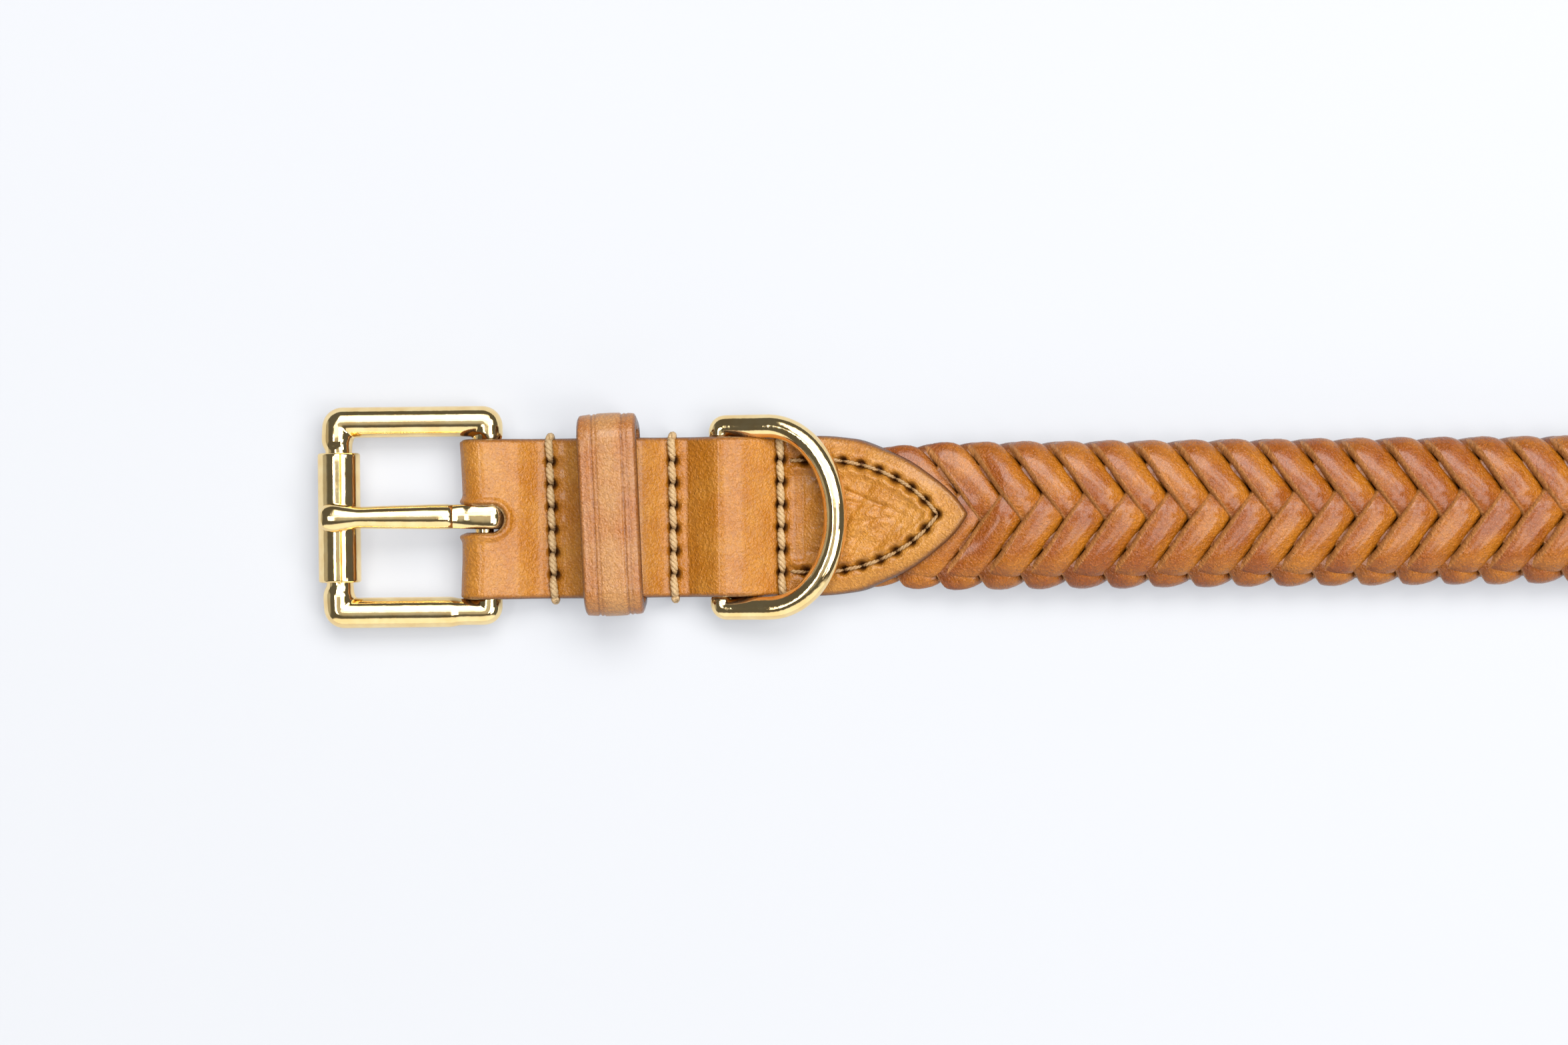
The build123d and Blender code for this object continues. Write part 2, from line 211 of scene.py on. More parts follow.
chape_top = curve(CHAPE_TOP)
billet_top = curve(BILLET_TOP)
plait_ceiling = curve(PLAIT_CEILING)
plait_floor = curve(PLAIT_FLOOR)
v_half_width = curve(V_OUTLINE)
v_seam = curve(V_SEAM)
billet_point = curve(BILLET_POINT)


# ---- meshes --------------------------------------------------------------------------


def place(points):
    """Stations and heights in millimetres, to the frame's metres."""
    out = np.array(points, float) * MM
    out[:, 0] -= CAD_MIDDLE * MM
    return out


def make(name, verts, faces, material, rest=None, paint=None, sharp=None):
    """A smooth-shaded object. rest is each point's place on the flat material, for its
    texture, and paint is each point's (edge, dark, tone) for its colour; its dark and tone
    parts also carry painted shade and painted highlights. With sharp, faces that meet at
    more than that many degrees keep a hard edge."""
    mesh = bpy.data.meshes.new(name)
    mesh.from_pydata(place(verts).tolist(), [], [list(map(int, f)) for f in faces])
    rest = np.asarray(verts if rest is None else rest, np.float32)
    paint = np.zeros((len(verts), 3)) if paint is None else np.asarray(paint)
    for label, data in (("rest", rest), ("paint", paint)):
        layer = mesh.attributes.new(label, "FLOAT_VECTOR", "POINT")
        layer.data.foreach_set("vector", np.asarray(data, np.float32).ravel())
    mesh.materials.append(material)
    mesh.validate()
    mesh.shade_smooth()
    if sharp:
        mesh.set_sharp_from_angle(angle=math.radians(sharp))
    mesh.update()
    piece = bpy.data.objects.new(name, mesh)
    bpy.context.scene.collection.objects.link(piece)
    return piece


def finish_rigid(piece, body, node):
    """The piece rides on one body, in the place of one CAD node."""
    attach(piece, body)
    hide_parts(node)


def finish_across(piece, a, b, bend, height, nodes):
    """The piece is baked where it lies, in the place of the CAD nodes over one bend of the strap; it is
    not tied to a body and does not bend. Bodies a and b are not used.
    """
    start, end = place([(bend - BLEND_REACH, 0, height), (bend + BLEND_REACH, 0, height)])
    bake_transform(piece)
    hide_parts(*nodes)


def strip_faces(rows, columns, closed_rows=False, closed_columns=True, first=0):
    """Quads of a grid of rows by columns points, numbered row by row."""
    r = np.arange(rows if closed_rows else rows - 1)
    c = np.arange(columns if closed_columns else columns - 1)
    r, c = (a.ravel() for a in np.meshgrid(r, c, indexing="ij"))
    r2, c2 = (r + 1) % rows, (c + 1) % columns
    quads = np.stack([r * columns + c, r * columns + c2, r2 * columns + c2, r2 * columns + c], 1)
    return (quads + first).tolist()


def sweep_frames(path, up=(0, 0, 1), closed=False):
    """Tangent, side and up vectors along a path, turned as little as possible."""
    if closed:
        tangent = np.roll(path, -1, 0) - np.roll(path, 1, 0)
    else:
        tangent = np.gradient(path, axis=0)
    tangent /= np.linalg.norm(tangent, axis=1)[:, None]
    ups = np.zeros_like(path)
    now = np.array(up, float)
    for i, t in enumerate(tangent):
        now = now - t * (now @ t)
        now /= np.linalg.norm(now)
        ups[i] = now
    return tangent, np.cross(tangent, ups), ups


def tube(path, radius, sides=10, closed=False, up=(0, 0, 1)):
    """Points and faces of a round bar along a path."""
    path = np.asarray(path, float)
    _, side, ups = sweep_frames(path, up, closed)
    turn = np.linspace(0, 2 * np.pi, sides, endpoint=False)
    r = np.broadcast_to(np.asarray(radius, float), (len(path),))[:, None, None]
    ring = side[:, None] * np.cos(turn)[None, :, None] + ups[:, None] * np.sin(turn)[None, :, None]
    verts = (path[:, None] + r * ring).reshape(-1, 3)
    faces = strip_faces(len(path), sides, closed_rows=closed)
    if not closed:
        faces.append(list(range(sides))[::-1])
        faces.append(list(range(len(verts) - sides, len(verts))))
    return verts, faces


def join(parts):
    """One list of points and faces from several."""
    verts, faces, first = [], [], 0
    for v, f in parts:
        verts.append(v)
        faces += [[i + first for i in face] for face in f]
        first += len(v)
    return np.concatenate(verts), faces


def twisted(path, radius, plies, lay, closed=False):
    """Thread of several plies laid round each other along a path, a turn for every lay."""
    path = np.asarray(path, float)
    along = arc_lengths(path)
    turns = along / lay
    if closed:
        turns = turns * round(turns[-1]) / turns[-1]
    _, side, ups = sweep_frames(path, (1, 0, 0), closed)
    radius = np.broadcast_to(np.asarray(radius, float), (len(path),))
    ply = radius * (0.56 if plies == 3 else 0.6)
    off = (radius - ply)[:, None]
    parts = []
    for k in range(plies):
        a = (2 * np.pi * (turns + k / plies))[:, None]
        line = path + off * (side * np.cos(a) + ups * np.sin(a))
        parts.append(tube(line, ply, 8, closed, (1, 0, 0)))
    return join(parts)


def drawn_in(path, holes, radius, least, reach):
    """The thread's radius along its path, less where it is pulled down into a hole."""
    gap = distance_to(holes, path[:, 0], path[:, 1])
    return radius * (1 - (1 - least) * bump(gap, reach))


# ---- a flat sheet of leather, cut to an outline, then bent to its place --------------------


def push_to_outline(points, outline, rounds=3):
    """The points moved onto the outline, each the shortest way."""
    for _ in range(rounds):
        d, du, dv = outline_slopes(points, outline, 0.01)
        size = np.maximum(du * du + dv * dv, 1e-6)
        points = points - np.stack([d * du / size, d * dv / size], 1)
    return points


def outline_slopes(points, outline, tiny):
    """The outline's distance at the points, and its change for u and for v."""
    d = outline(points[:, 0], points[:, 1])
    du = (outline(points[:, 0] + tiny, points[:, 1]) - d) / tiny
    dv = (outline(points[:, 0], points[:, 1] + tiny) - d) / tiny
    return d, du, dv


def cut_grid(outline, u_range, v_range, step):
    """The flat grid inside an outline: points, faces, its border's edges, the points on
    the border, and which of those lie on the outline and not on the grid's own ends."""
    nu = int(round((u_range[1] - u_range[0]) / step)) + 1
    nv = int(round((v_range[1] - v_range[0]) / step)) + 1
    u, v = np.meshgrid(np.linspace(*u_range, nu), np.linspace(*v_range, nv), indexing="ij")
    flat = np.stack([u.ravel(), v.ravel()], 1)
    keep = outline(flat[:, 0], flat[:, 1]) < 0.35 * step
    quads = np.array(strip_faces(nu, nv, closed_columns=False))
    inside = keep[quads]
    faces = quads[inside.all(1)].tolist()
    three = inside.sum(1) == 3
    faces += [quad[mask].tolist() for quad, mask in zip(quads[three], inside[three])]
    used = np.unique(np.concatenate([np.array(f) for f in faces]))
    number = -np.ones(len(flat), int)
    number[used] = np.arange(len(used))
    flat = flat[used]
    faces = [[int(number[i]) for i in f] for f in faces]

    edges = {(a, b): True for f in faces for a, b in zip(f, f[1:] + f[:1])}
    border = [(a, b) for a, b in edges if (b, a) not in edges]
    rim = np.unique(np.array(border).ravel())
    on_outline = rim[outline(flat[rim, 0], flat[rim, 1]) > -1.5 * step]
    flat[on_outline] = push_to_outline(flat[on_outline], outline)
    return flat, faces, border, rim, on_outline


WALLS = 4  # bands of faces between a sheet's two sides
EDGE_BULGE = 0.10


def sheet(
    name, outline, u_range, v_range, step, thick, bend, relief, paint, material,
    round_edge=0.5, sharp=None,
):
    """A leather sheet with rounded edges. outline(u, v) is negative inside the cut,
    thick is a number or thick(u), bend(u, v, h) gives places, with h measured up from the
    grain face, relief(u, v) the height of its creases and puckers, and paint(u, v, inside)
    its dark and tone."""
    flat, faces, border, rim, on_outline = cut_grid(outline, u_range, v_range, step)
    uu, vv = flat[:, 0], flat[:, 1]
    depth = np.maximum(-outline(uu, vv), 0)
    depth[on_outline] = 0
    near_edge = np.clip(round_edge - depth, 0, round_edge)
    drop = round_edge - np.sqrt(np.maximum(round_edge**2 - near_edge**2, 0))
    raised = relief(uu, vv)
    t = np.broadcast_to(np.asarray(thick(uu) if callable(thick) else thick, float), (len(flat),))
    dark, tone_and_highlight = paint(uu, vv, depth)

    verts = [bend(uu, vv, raised - drop)]
    paints = [np.stack([0.35 * bump(depth, 0.25), dark, tone_and_highlight], 1)]
    rests = [np.stack([uu, vv, 0 * uu], 1)]
    _, du, dv = outline_slopes(flat[rim], outline, 0.01)
    size = np.maximum(np.hypot(du, dv), 1e-6)
    for w in range(1, WALLS):
        share = w / WALLS
        bulge = EDGE_BULGE * math.sin(math.pi * share) * (depth[rim] < 0.01)
        out_u, out_v = uu[rim] + bulge * du / size, vv[rim] + bulge * dv / size
        low = -drop[rim] - share * (t[rim] - 2 * drop[rim])
        verts.append(bend(out_u, out_v, raised[rim] + low))
        paints.append(np.stack([np.ones(len(rim)), dark[rim], tone_and_highlight[rim]], 1))
        rests.append(rests[0][rim] - [0, 0, w * 0.5])
    verts.append(bend(uu, vv, np.maximum(raised, 0) - t + drop))
    paints.append(np.stack([0.2 + 0 * dark, dark * 0 + 0.25, tone_and_highlight], 1))
    rests.append(rests[0] - [0, 0, 7.0])

    last = len(flat) + (WALLS - 1) * len(rim)
    all_faces = list(faces) + [[last + i for i in f[::-1]] for f in faces]
    place_on_rim = {int(i): k for k, i in enumerate(rim)}

    def ladder(i):
        rungs = [len(flat) + w * len(rim) + place_on_rim[i] for w in range(WALLS - 1)]
        return [i] + rungs + [last + i]

    for a, b in border:
        one, other = ladder(a), ladder(b)
        all_faces += [[other[k], one[k], one[k + 1], other[k + 1]] for k in range(WALLS)]
    return make(
        name, np.concatenate(verts), all_faces, material,
        rest=np.concatenate(rests), paint=np.concatenate(paints), sharp=sharp,
    )


# ---- materials -----------------------------------------------------------------------


class Nodes:
    """A short way to build a material's node tree."""

    def __init__(self, name):
        self.material = bpy.data.materials.new(name)
        self.material.use_nodes = True
        self.tree = self.material.node_tree
        self.shader = self.tree.nodes["Principled BSDF"]

    def feed(self, socket, value):
        """The input takes another node's output, or a constant."""
        if isinstance(value, bpy.types.NodeSocket):
            self.tree.links.new(value, socket)
        else:
            socket.default_value = value

    def add(self, kind, inputs=(), **settings):
        node = self.tree.nodes.new(kind)
        for key, value in settings.items():
            setattr(node, key, value)
        for key, value in dict(inputs).items():
            self.feed(node.inputs[key], value)
        return node

    def attribute(self, name):
        return self.add("ShaderNodeAttribute", attribute_name=name)

    def noise(self, vector, scale, detail=3.0, rough=0.55):
        inputs = {"Vector": vector, "Scale": scale, "Detail": detail, "Roughness": rough}
        return self.add("ShaderNodeTexNoise", inputs).outputs["Fac"]

    def ramp(self, value, low, high, out_low=0.0, out_high=1.0):
        """From out_low at low to out_high at high, and level beyond them."""
        inputs = {"Value": value, 1: low, 2: high, 3: out_low, 4: out_high}
        return self.add("ShaderNodeMapRange", inputs).outputs["Result"]

    def math(self, operation, a, b):
        return self.add("ShaderNodeMath", {0: a, 1: b}, operation=operation).outputs[0]

    def mix(self, factor, a, b):
        """Colour a where factor is 0 and colour b where it is 1."""
        return self.add("ShaderNodeMix", {0: factor, 6: a, 7: b}, data_type="RGBA").outputs[2]

    def bump(self, height, strength, distance, normal=None):
        inputs = {"Height": height, "Strength": strength, "Distance": distance}
        if normal is not None:
            inputs["Normal"] = normal
        return self.add("ShaderNodeBump", inputs).outputs["Normal"]

    def set(self, **inputs):
        for key, value in inputs.items():
            self.feed(self.shader.inputs[key.replace("_", " ")], value)
        return self.material


LIGHT_LEVEL = 1.92  # how many times brighter than its own colour a surface lying flat looks


def seen(r, g, b):
    """The surface colour that looks like these 0 to 255 screen values in this light."""
    return tuple(c / LIGHT_LEVEL for c in srgb(r, g, b)[:3]) + (1.0,)


def srgb(r, g, b):
    """A linear colour from 0 to 255 screen values."""
    def linear(c):
        c /= 255
        return c / 12.92 if c <= 0.04045 else ((c + 0.055) / 1.055) ** 2.4

    return (linear(r), linear(g), linear(b), 1.0)


def leather(name, light, base, deep, edge, grain=1.0, rough=0.42, shine=0.42, wax=0.22):
    """Vegetable-tanned leather: mottled dye, fine pores, darker creases and raw or dyed
    edges. The paint attribute's three parts say where it is cut, dark or light: the dark part
    holds dyed edges and creased lines but also painted shade in holes, creases and gaps,
    and the light part painted highlights beside the leather's own variation."""
    n = Nodes(name)
    rest = n.attribute("rest").outputs["Vector"]
    split = n.add("ShaderNodeSeparateXYZ", {0: n.attribute("paint").outputs["Vector"]})
    cut, dark, tone_and_highlight = split.outputs
    clouds = n.noise(rest, 0.16, 3.0)
    mottle = n.noise(rest, 0.9, 4.0, 0.65)
    pores = n.noise(rest, 3.4, 2.0, 0.7)
    mixed = n.math("ADD", n.math("MULTIPLY", clouds, 0.75), n.math("MULTIPLY", mottle, 0.25))
    mixed = n.math("ADD", mixed, n.math("MULTIPLY", tone_and_highlight, 0.25))
    colour = n.mix(n.ramp(mixed, 0.38, 0.68), base, light)
    colour = n.mix(n.ramp(pores, 0.54, 0.70, 0.0, 0.42), colour, deep)
    colour = n.mix(n.ramp(dark, 0.0, 1.0, 0.0, 0.92), colour, deep)
    fibre = n.noise(rest, 2.2, 4.0, 0.7)
    dim_edge = tuple(0.75 * c for c in edge[:3]) + (1.0,)
    colour = n.mix(cut, colour, n.mix(n.ramp(fibre, 0.35, 0.65), edge, dim_edge))
    drift = n.add("ShaderNodeTexNoise", {"Vector": rest, "Scale": 1.6, "Detail": 2.0})
    warped = n.add("ShaderNodeVectorMath", {0: rest, 1: drift.outputs["Color"]}, operation="ADD")
    cells = n.add(
        "ShaderNodeTexVoronoi",
        {"Vector": warped.outputs[0], "Scale": 2.1, "Randomness": 1.0, "Smoothness": 0.6},
        feature="SMOOTH_F1",
    )
    pebble = n.ramp(cells.outputs["Distance"], 0.65, 0.15)
    wrinkles = n.noise(rest, 0.55, 5.0, 0.6)
    height = n.math("ADD", n.math("MULTIPLY", pebble, 0.7), n.math("MULTIPLY", pores, 0.9))
    normal = n.bump(height, 0.8 * grain, 0.00016)
    normal = n.bump(wrinkles, 0.7 * grain, 0.00020, normal)
    colour = n.mix(n.ramp(pebble, 0.0, 0.45, 0.20, 0.0), colour, deep)
    roughness = n.ramp(mottle, 0.3, 0.7, rough - 0.07, rough + 0.10)
    return n.set(
        Base_Color=colour, Roughness=roughness, Normal=normal, IOR=1.46,
        Specular_IOR_Level=shine, Coat_Weight=wax, Coat_Roughness=0.14,
    )


def brass(name):
    """Polished cast brass with faint draw lines and handling marks."""
    n = Nodes(name)
    rest = n.attribute("rest").outputs["Vector"]
    marks = n.noise(rest, 5.0, 4.0, 0.75)
    clouds = n.noise(rest, 0.35, 2.0)
    colour = n.mix(n.ramp(clouds, 0.35, 0.65), srgb(247, 222, 166), srgb(240, 208, 146))
    normal = n.bump(clouds, 0.25, 0.0002)
    normal = n.bump(marks, 0.10, 0.00004, normal)
    return n.set(
        Base_Color=colour, Metallic=1.0, Normal=normal,
        Roughness=n.ramp(marks, 0.35, 0.7, 0.04, 0.10),
    )


def thread_material(name, light, deep):
    """Waxed linen thread: fine fibres along the ply."""
    n = Nodes(name)
    rest = n.attribute("rest").outputs["Vector"]
    fibres = n.noise(rest, 6.0, 3.0, 0.7)
    clouds = n.noise(rest, 0.8, 2.0)
    colour = n.mix(n.ramp(fibres, 0.35, 0.65), deep, light)
    colour = n.mix(n.ramp(clouds, 0.4, 0.7, 0.0, 0.3), colour, deep)
    return n.set(Base_Color=colour, Roughness=0.62, Normal=n.bump(fibres, 0.6, 0.00006))


# each leather's lightest, usual and deepest dye, then its cut edge
STRAP = leather(
    "strap_leather", seen(229, 157, 58), seen(208, 128, 20), seen(112, 54, 10), seen(74, 40, 32),
    rough=0.36,
)
KEEPER_LEATHER = leather(
    "keeper_leather", seen(218, 156, 90), seen(202, 124, 50), seen(104, 46, 18), seen(96, 50, 30),
    rough=0.27,
)
PLAIT = leather(
    "plait_leather", seen(212, 129, 28), seen(173, 88, 8), seen(92, 42, 6), seen(226, 152, 84),
    grain=1.1, rough=0.27, shine=0.28, wax=0.32,
)
CORE = leather(
    "core_leather", seen(90, 56, 34), seen(70, 40, 24), seen(40, 22, 14), seen(60, 34, 20),
)
BRASS = brass("polished_brass")
THREAD = thread_material("waxed_thread", seen(244, 214, 164), seen(204, 158, 100))
FINE_THREAD = thread_material("fine_thread", seen(228, 188, 132), seen(178, 132, 82))


# ---- buckle --------------------------------------------------------------------------


def cast_together(name, parts, voxel, rounds, material):
    """Overlapping closed solids run together into one, their joins softened."""
    verts, faces = join(parts)
    rough = make("casting_pattern", verts, faces, material)
    remesh = rough.modifiers.new("remesh", "REMESH")
    remesh.mode, remesh.voxel_size = "VOXEL", voxel * MM
    soften = rough.modifiers.new("soften", "SMOOTH")
    soften.factor, soften.iterations = 0.5, rounds
    graph = bpy.context.evaluated_depsgraph_get()
    mesh = bpy.data.meshes.new_from_object(rough.evaluated_get(graph))
    bpy.data.objects.remove(rough)
    verts = np.array([v.co for v in mesh.vertices]) / MM + [CAD_MIDDLE, 0, 0]
    faces = [list(p.vertices) for p in mesh.polygons]
    return make(name, verts, faces, material)


def buckle_frame():
    """Round bars: two arms, a heel bar in the fold and a thinner bar inside the roller."""
    left, right, side, corner = 3.2, 26.8, 15.0, 0.8
    arm, heel_bar, roller_bar, slimmer = 2.43, 1.78, 2.12, 0.3
    middle = BAR_HEIGHT - 0.05
    centres = (
        (right - corner, side - corner), (left + corner, side - corner),
        (left + corner, -side + corner), (right - corner, -side + corner),
    )
    points = []
    for quarter, (cx, cy) in enumerate(centres):
        for a in np.linspace(0, math.pi / 2, 10) + quarter * math.pi / 2:
            points.append((cx + corner * math.cos(a), cy + corner * math.sin(a), middle))
    path = resample(np.array(points + points[:1]), 0.15)[:-1]
    x, y = path[:, 0], np.abs(path[:, 1])
    heel = smoothstep(24.6, 25.4, x) * smoothstep(12.75, 12.35, y)
    neck = smoothstep(5.0, 4.2, x) * smoothstep(12.2, 10.6, y)
    shoulder = smoothstep(5.0, 4.2, x) * bump(y - 12.6, 1.4)
    radius = arm + (heel_bar - arm) * heel + (roller_bar - arm) * neck + 0.12 * shoulder
    radius -= slimmer * smoothstep(20.5, 22.5, x) * (path[:, 1] < 0)
    path[:, 0] += (BAR_STATION - right) * heel + (ROLLER_RADIUS - left) * neck
    piece = cast_together("buckle_casting", [tube(path, radius, 28, closed=True)], 0.2, 3, BRASS)
    piece.data.transform(Matrix.Translation((0, BUCKLE_ASIDE * MM, 0)))
    finish_rigid(piece, "buckle", "buckle_frame")


def lathe(profile, sides, centre, seam_angle, seam_depth):
    """A closed (y, r) profile turned round a Y axis, with one lengthways seam."""
    turn = np.linspace(0, 2 * np.pi, sides, endpoint=False)
    across_seam = seam_angle + np.array([-0.05, -0.02, 0.0, 0.02, 0.05])
    turn = np.sort(np.concatenate([turn, across_seam]))
    seam = seam_depth * bump(turn - seam_angle, 0.022)
    y, r = (np.array(c) for c in zip(*profile))
    outer = r > (r.max() + r.min()) / 2
    radius = r[None, :] - seam[:, None] * outer[None, :]
    x = centre[0] + radius * np.cos(turn)[:, None]
    z = centre[1] + radius * np.sin(turn)[:, None]
    verts = np.stack([x, np.broadcast_to(y, x.shape), z], 2).reshape(-1, 3)
    return verts, strip_faces(len(turn), len(profile), closed_rows=True)


def roller():
    """Sheet rolled to a tube, its ends softened and its seam a little right of the top."""
    h, r, bore = ROLLER_LENGTH / 2, ROLLER_RADIUS, ROLLER_BORE
    e, bevel = 0.4, 0.15
    corner = [(math.cos(a), math.sin(a)) for a in np.linspace(0, math.pi / 2, 6)]
    profile = [(h - e + e * s, r - e + e * c) for c, s in corner]
    profile += [(h, bore + bevel), (h - bevel, bore), (-h + bevel, bore), (-h, bore + bevel)]
    profile += [(-h + e - e * s, r - e + e * c) for c, s in corner[::-1]]
    profile += [(y, r) for y in np.linspace(-h + e + 1, h - e - 1, 9)]
    verts, faces = lathe(profile, 96, (ROLLER_RADIUS, BAR_HEIGHT), math.radians(80), 0.22)
    verts = verts + [0, BUCKLE_ASIDE, 0]
    piece = make("roller_tube", verts, [f[::-1] for f in faces], BRASS, sharp=60)
    finish_rigid(piece, "roller", "roller")


PRONG_TOP = (
    (-1.0, 7.6), (0.0, 8.35), (1.2, 8.95), (2.6, 9.4), (4.2, 9.5), (8.0, 9.3), (14.0, 8.75),
    (20.5, 8.05), (21.4, 7.3), (22.9, 7.1), (24.6, 7.22), (26.2, 7.13),
)
PRONG_ABOVE = (  # from the middle line up to the top
    (-1.0, 1.5), (1.2, 1.6), (4.2, 1.75), (9.0, 1.75), (20.4, 1.75), (21.4, 1.15), (23.5, 0.86),
    (26.2, 0.73),
)
PRONG_BELOW = ((-1.0, 0.6), (1.2, 0.65), (9.0, 0.8), (20.4, 0.95), (26.2, 0.72))
PRONG_HALF_WIDTH = (
    (1.9, 2.12), (2.8, 2.3), (4.6, 2.05), (7.0, 1.72), (11, 1.84), (20.4, 1.98), (21.4, 1.90),
    (23.0, 1.92), (26.2, 2.06),
)
PRONG_TIP = 1.9


def prong_line():
    """The prong's middle line from its tip back and round the heel bar, with how many
    degrees it has turned round that bar at each point."""
    top, above = curve(PRONG_TOP), curve(PRONG_ABOVE)
    along_notch = np.arange(20.2, 21.8, 0.07)
    x = np.concatenate([np.arange(PRONG_TIP, 20.2, 0.2), along_notch, np.arange(21.8, BAR_STATION, 0.2)])
    line = [(a, float(top(a) - above(a))) for a in x]
    for a in np.radians(np.linspace(90, -190, 60)):
        shoulder = 0.42 * math.sin(2 * a) ** 2 if 0 < a < math.pi / 2 else 0.0
        r = 2.6 + shoulder
        line.append((BAR_STATION + r * math.cos(a), BAR_HEIGHT + r * math.sin(a)))
    line = np.array(line)
    turned = np.concatenate([np.zeros(len(x)), np.linspace(0, 280, len(line) - len(x))])
    return np.stack([line[:, 0], 0 * line[:, 0], line[:, 1]], 1), turned


def prong():
    """A tongue with a rounded tip and a notched heel, bent round the heel bar."""
    path, turned = prong_line()
    on_shank = np.where(turned > 0, BAR_STATION, path[:, 0])
    width = curve(PRONG_HALF_WIDTH)(on_shank) - 0.75 * smoothstep(70, 130, turned)
    above, below = curve(PRONG_ABOVE)(on_shank), curve(PRONG_BELOW)(on_shank)
    _, side, up = sweep_frames(path, (0, 0, 1))
    turn = np.linspace(0, 2 * np.pi, 32, endpoint=False)
    c, s = np.cos(turn), np.sin(turn)
    thick = np.where(s[None, :] > 0, above[:, None], below[:, None])
    rings = (
        path[:, None]
        + side[:, None] * (width[:, None] * c[None, :])[:, :, None]
        + up[:, None] * (thick * s[None, :])[:, :, None]
    )
    forward = path[0] - path[1]
    forward /= np.linalg.norm(forward)
    nose_length = 1.25
    nose = [
        path[0] + (rings[0] - path[0]) * math.sin(a) + forward * nose_length * math.cos(a)
        for a in np.radians((10, 20, 32, 45, 60, 75))
    ]
    rings = np.concatenate([np.array(nose), rings]) + [0, BUCKLE_ASIDE, 0]
    verts = rings.reshape(-1, 3)
    faces = strip_faces(len(rings), len(turn))
    faces.append(list(range(len(turn))))
    faces.append(list(range(len(verts) - len(turn), len(verts)))[::-1])
    piece = make("prong_tongue", verts, [f[::-1] for f in faces], BRASS, sharp=75)
    finish_rigid(piece, "prong", "prong")


# ---- D-ring --------------------------------------------------------------------------


def d_ring():
    """Round wire: a straight bar in its tunnel of leather, where the wire is thinner, and
    a bow that rests on the chape."""
    half, corner, straight, reach, wire = 14.3, 0.8, 7.6, 18.5, 1.85
    aside = -0.12
    quarter = np.linspace(0, math.pi / 2, 12)
    legs = np.linspace(corner, straight, 14)[1:]
    upper = [(corner - corner * math.cos(a), half - corner + corner * math.sin(a)) for a in quarter]
    upper += [(u, half) for u in legs]
    bow = [
        (straight + (reach - straight) * math.cos(a), half * math.sin(a))
        for a in np.linspace(math.pi / 2, -math.pi / 2, 90)
    ]
    lower = [(u, -y) for u, y in upper]
    bar = [(0, y) for y in np.linspace(-half + corner, half - corner, 40)]
    flat = np.array(bar + upper[1:] + bow[1:] + lower[-2:0:-1])
    rest_angle = math.radians(14.5)
    path = np.stack(
        [
            RING_STATION + flat[:, 0] * math.cos(rest_angle), flat[:, 1] + aside,
            RING_HEIGHT + flat[:, 0] * math.sin(rest_angle),
        ],
        1,
    )
    path[:, 2] += 0.2 * smoothstep(2, 8, flat[:, 0])
    in_fold = smoothstep(1.2, 0.6, flat[:, 0]) * smoothstep(12.9, 12.5, np.abs(flat[:, 1]))
    ring = tube(path, wire - 0.35 * in_fold, 28, closed=True)
    piece = cast_together("d_ring_wire", [ring], 0.2, 3, BRASS)
    finish_rigid(piece, "ring", "d_ring")


# ---- chape ---------------------------------------------------------------------------


def droop(x, y):
    """How far the pointed layer comes down over the plait's sides, away from its middle."""
    over = np.maximum(chape_top(x) - PRESSED, 0) * smoothstep(75.5, 80, x)
    return over * 0.8 * np.clip(np.abs(y) / 12.6, 0, 1.1) ** 3


def seam_distance(x, y):
    """About how far inside the V seam a place is."""
    return -edge_distance(v_seam, x, y)


def on_seam(x):
    """1 along the V seam, 0 before its first stitch and past its point."""
    return smoothstep(73.5, 75, x) * smoothstep(98.5, 97, x)


def seam_points():
    """The V seam's holes, from the row on one side to the row on the other."""
    xs = np.linspace(V_SEAM[0][0], V_SEAM[-1][0], 400)
    leg = np.stack([xs, v_seam(xs)], 1)
    along = arc_lengths(leg)
    marks = np.linspace(0, along[-1], V_STITCHES + 1)
    half = np.stack([np.interp(marks, along, leg[:, k]) for k in range(2)], 1)
    other = half[:-1][::-1] * [1, -1]
    return np.concatenate([half, other])


def row_holes(station, tilt):
    """A row's holes from edge to edge, on a line tilted by so many degrees."""
    y = np.linspace(-ROW_EDGE, ROW_EDGE, STITCHES + 1)
    return np.stack([station - y * math.tan(math.radians(tilt)), y], 1)


SEAM_HOLES = seam_points()
ROW_HOLES = [row_holes(s, t) for s, t in zip(ROWS, ROW_TILTS)]
SEAM_PITS = SEAM_HOLES[1:-1] + [-0.22, 0]  # pulled a little aside by the thread
ROW_PITS = [holes[1:-1] + [0.14, 0.0] for holes in ROW_HOLES]
POINT_CREASES = (  # each a line's y at station 80, slope and depth
    (5.2, -0.42, 0.40), (2.4, -0.10, 0.32), (-1.6, 0.12, 0.38), (-5.0, 0.36, 0.32),
)


def pits(x, y, holes, radius, depth):
    """Steep round dips at the holes."""
    total = np.zeros_like(x)
    for hx, hy in holes:
        total -= depth * np.exp(-(((x - hx) ** 2 + (y - hy) ** 2) / radius**2) ** 1.5)
    return total


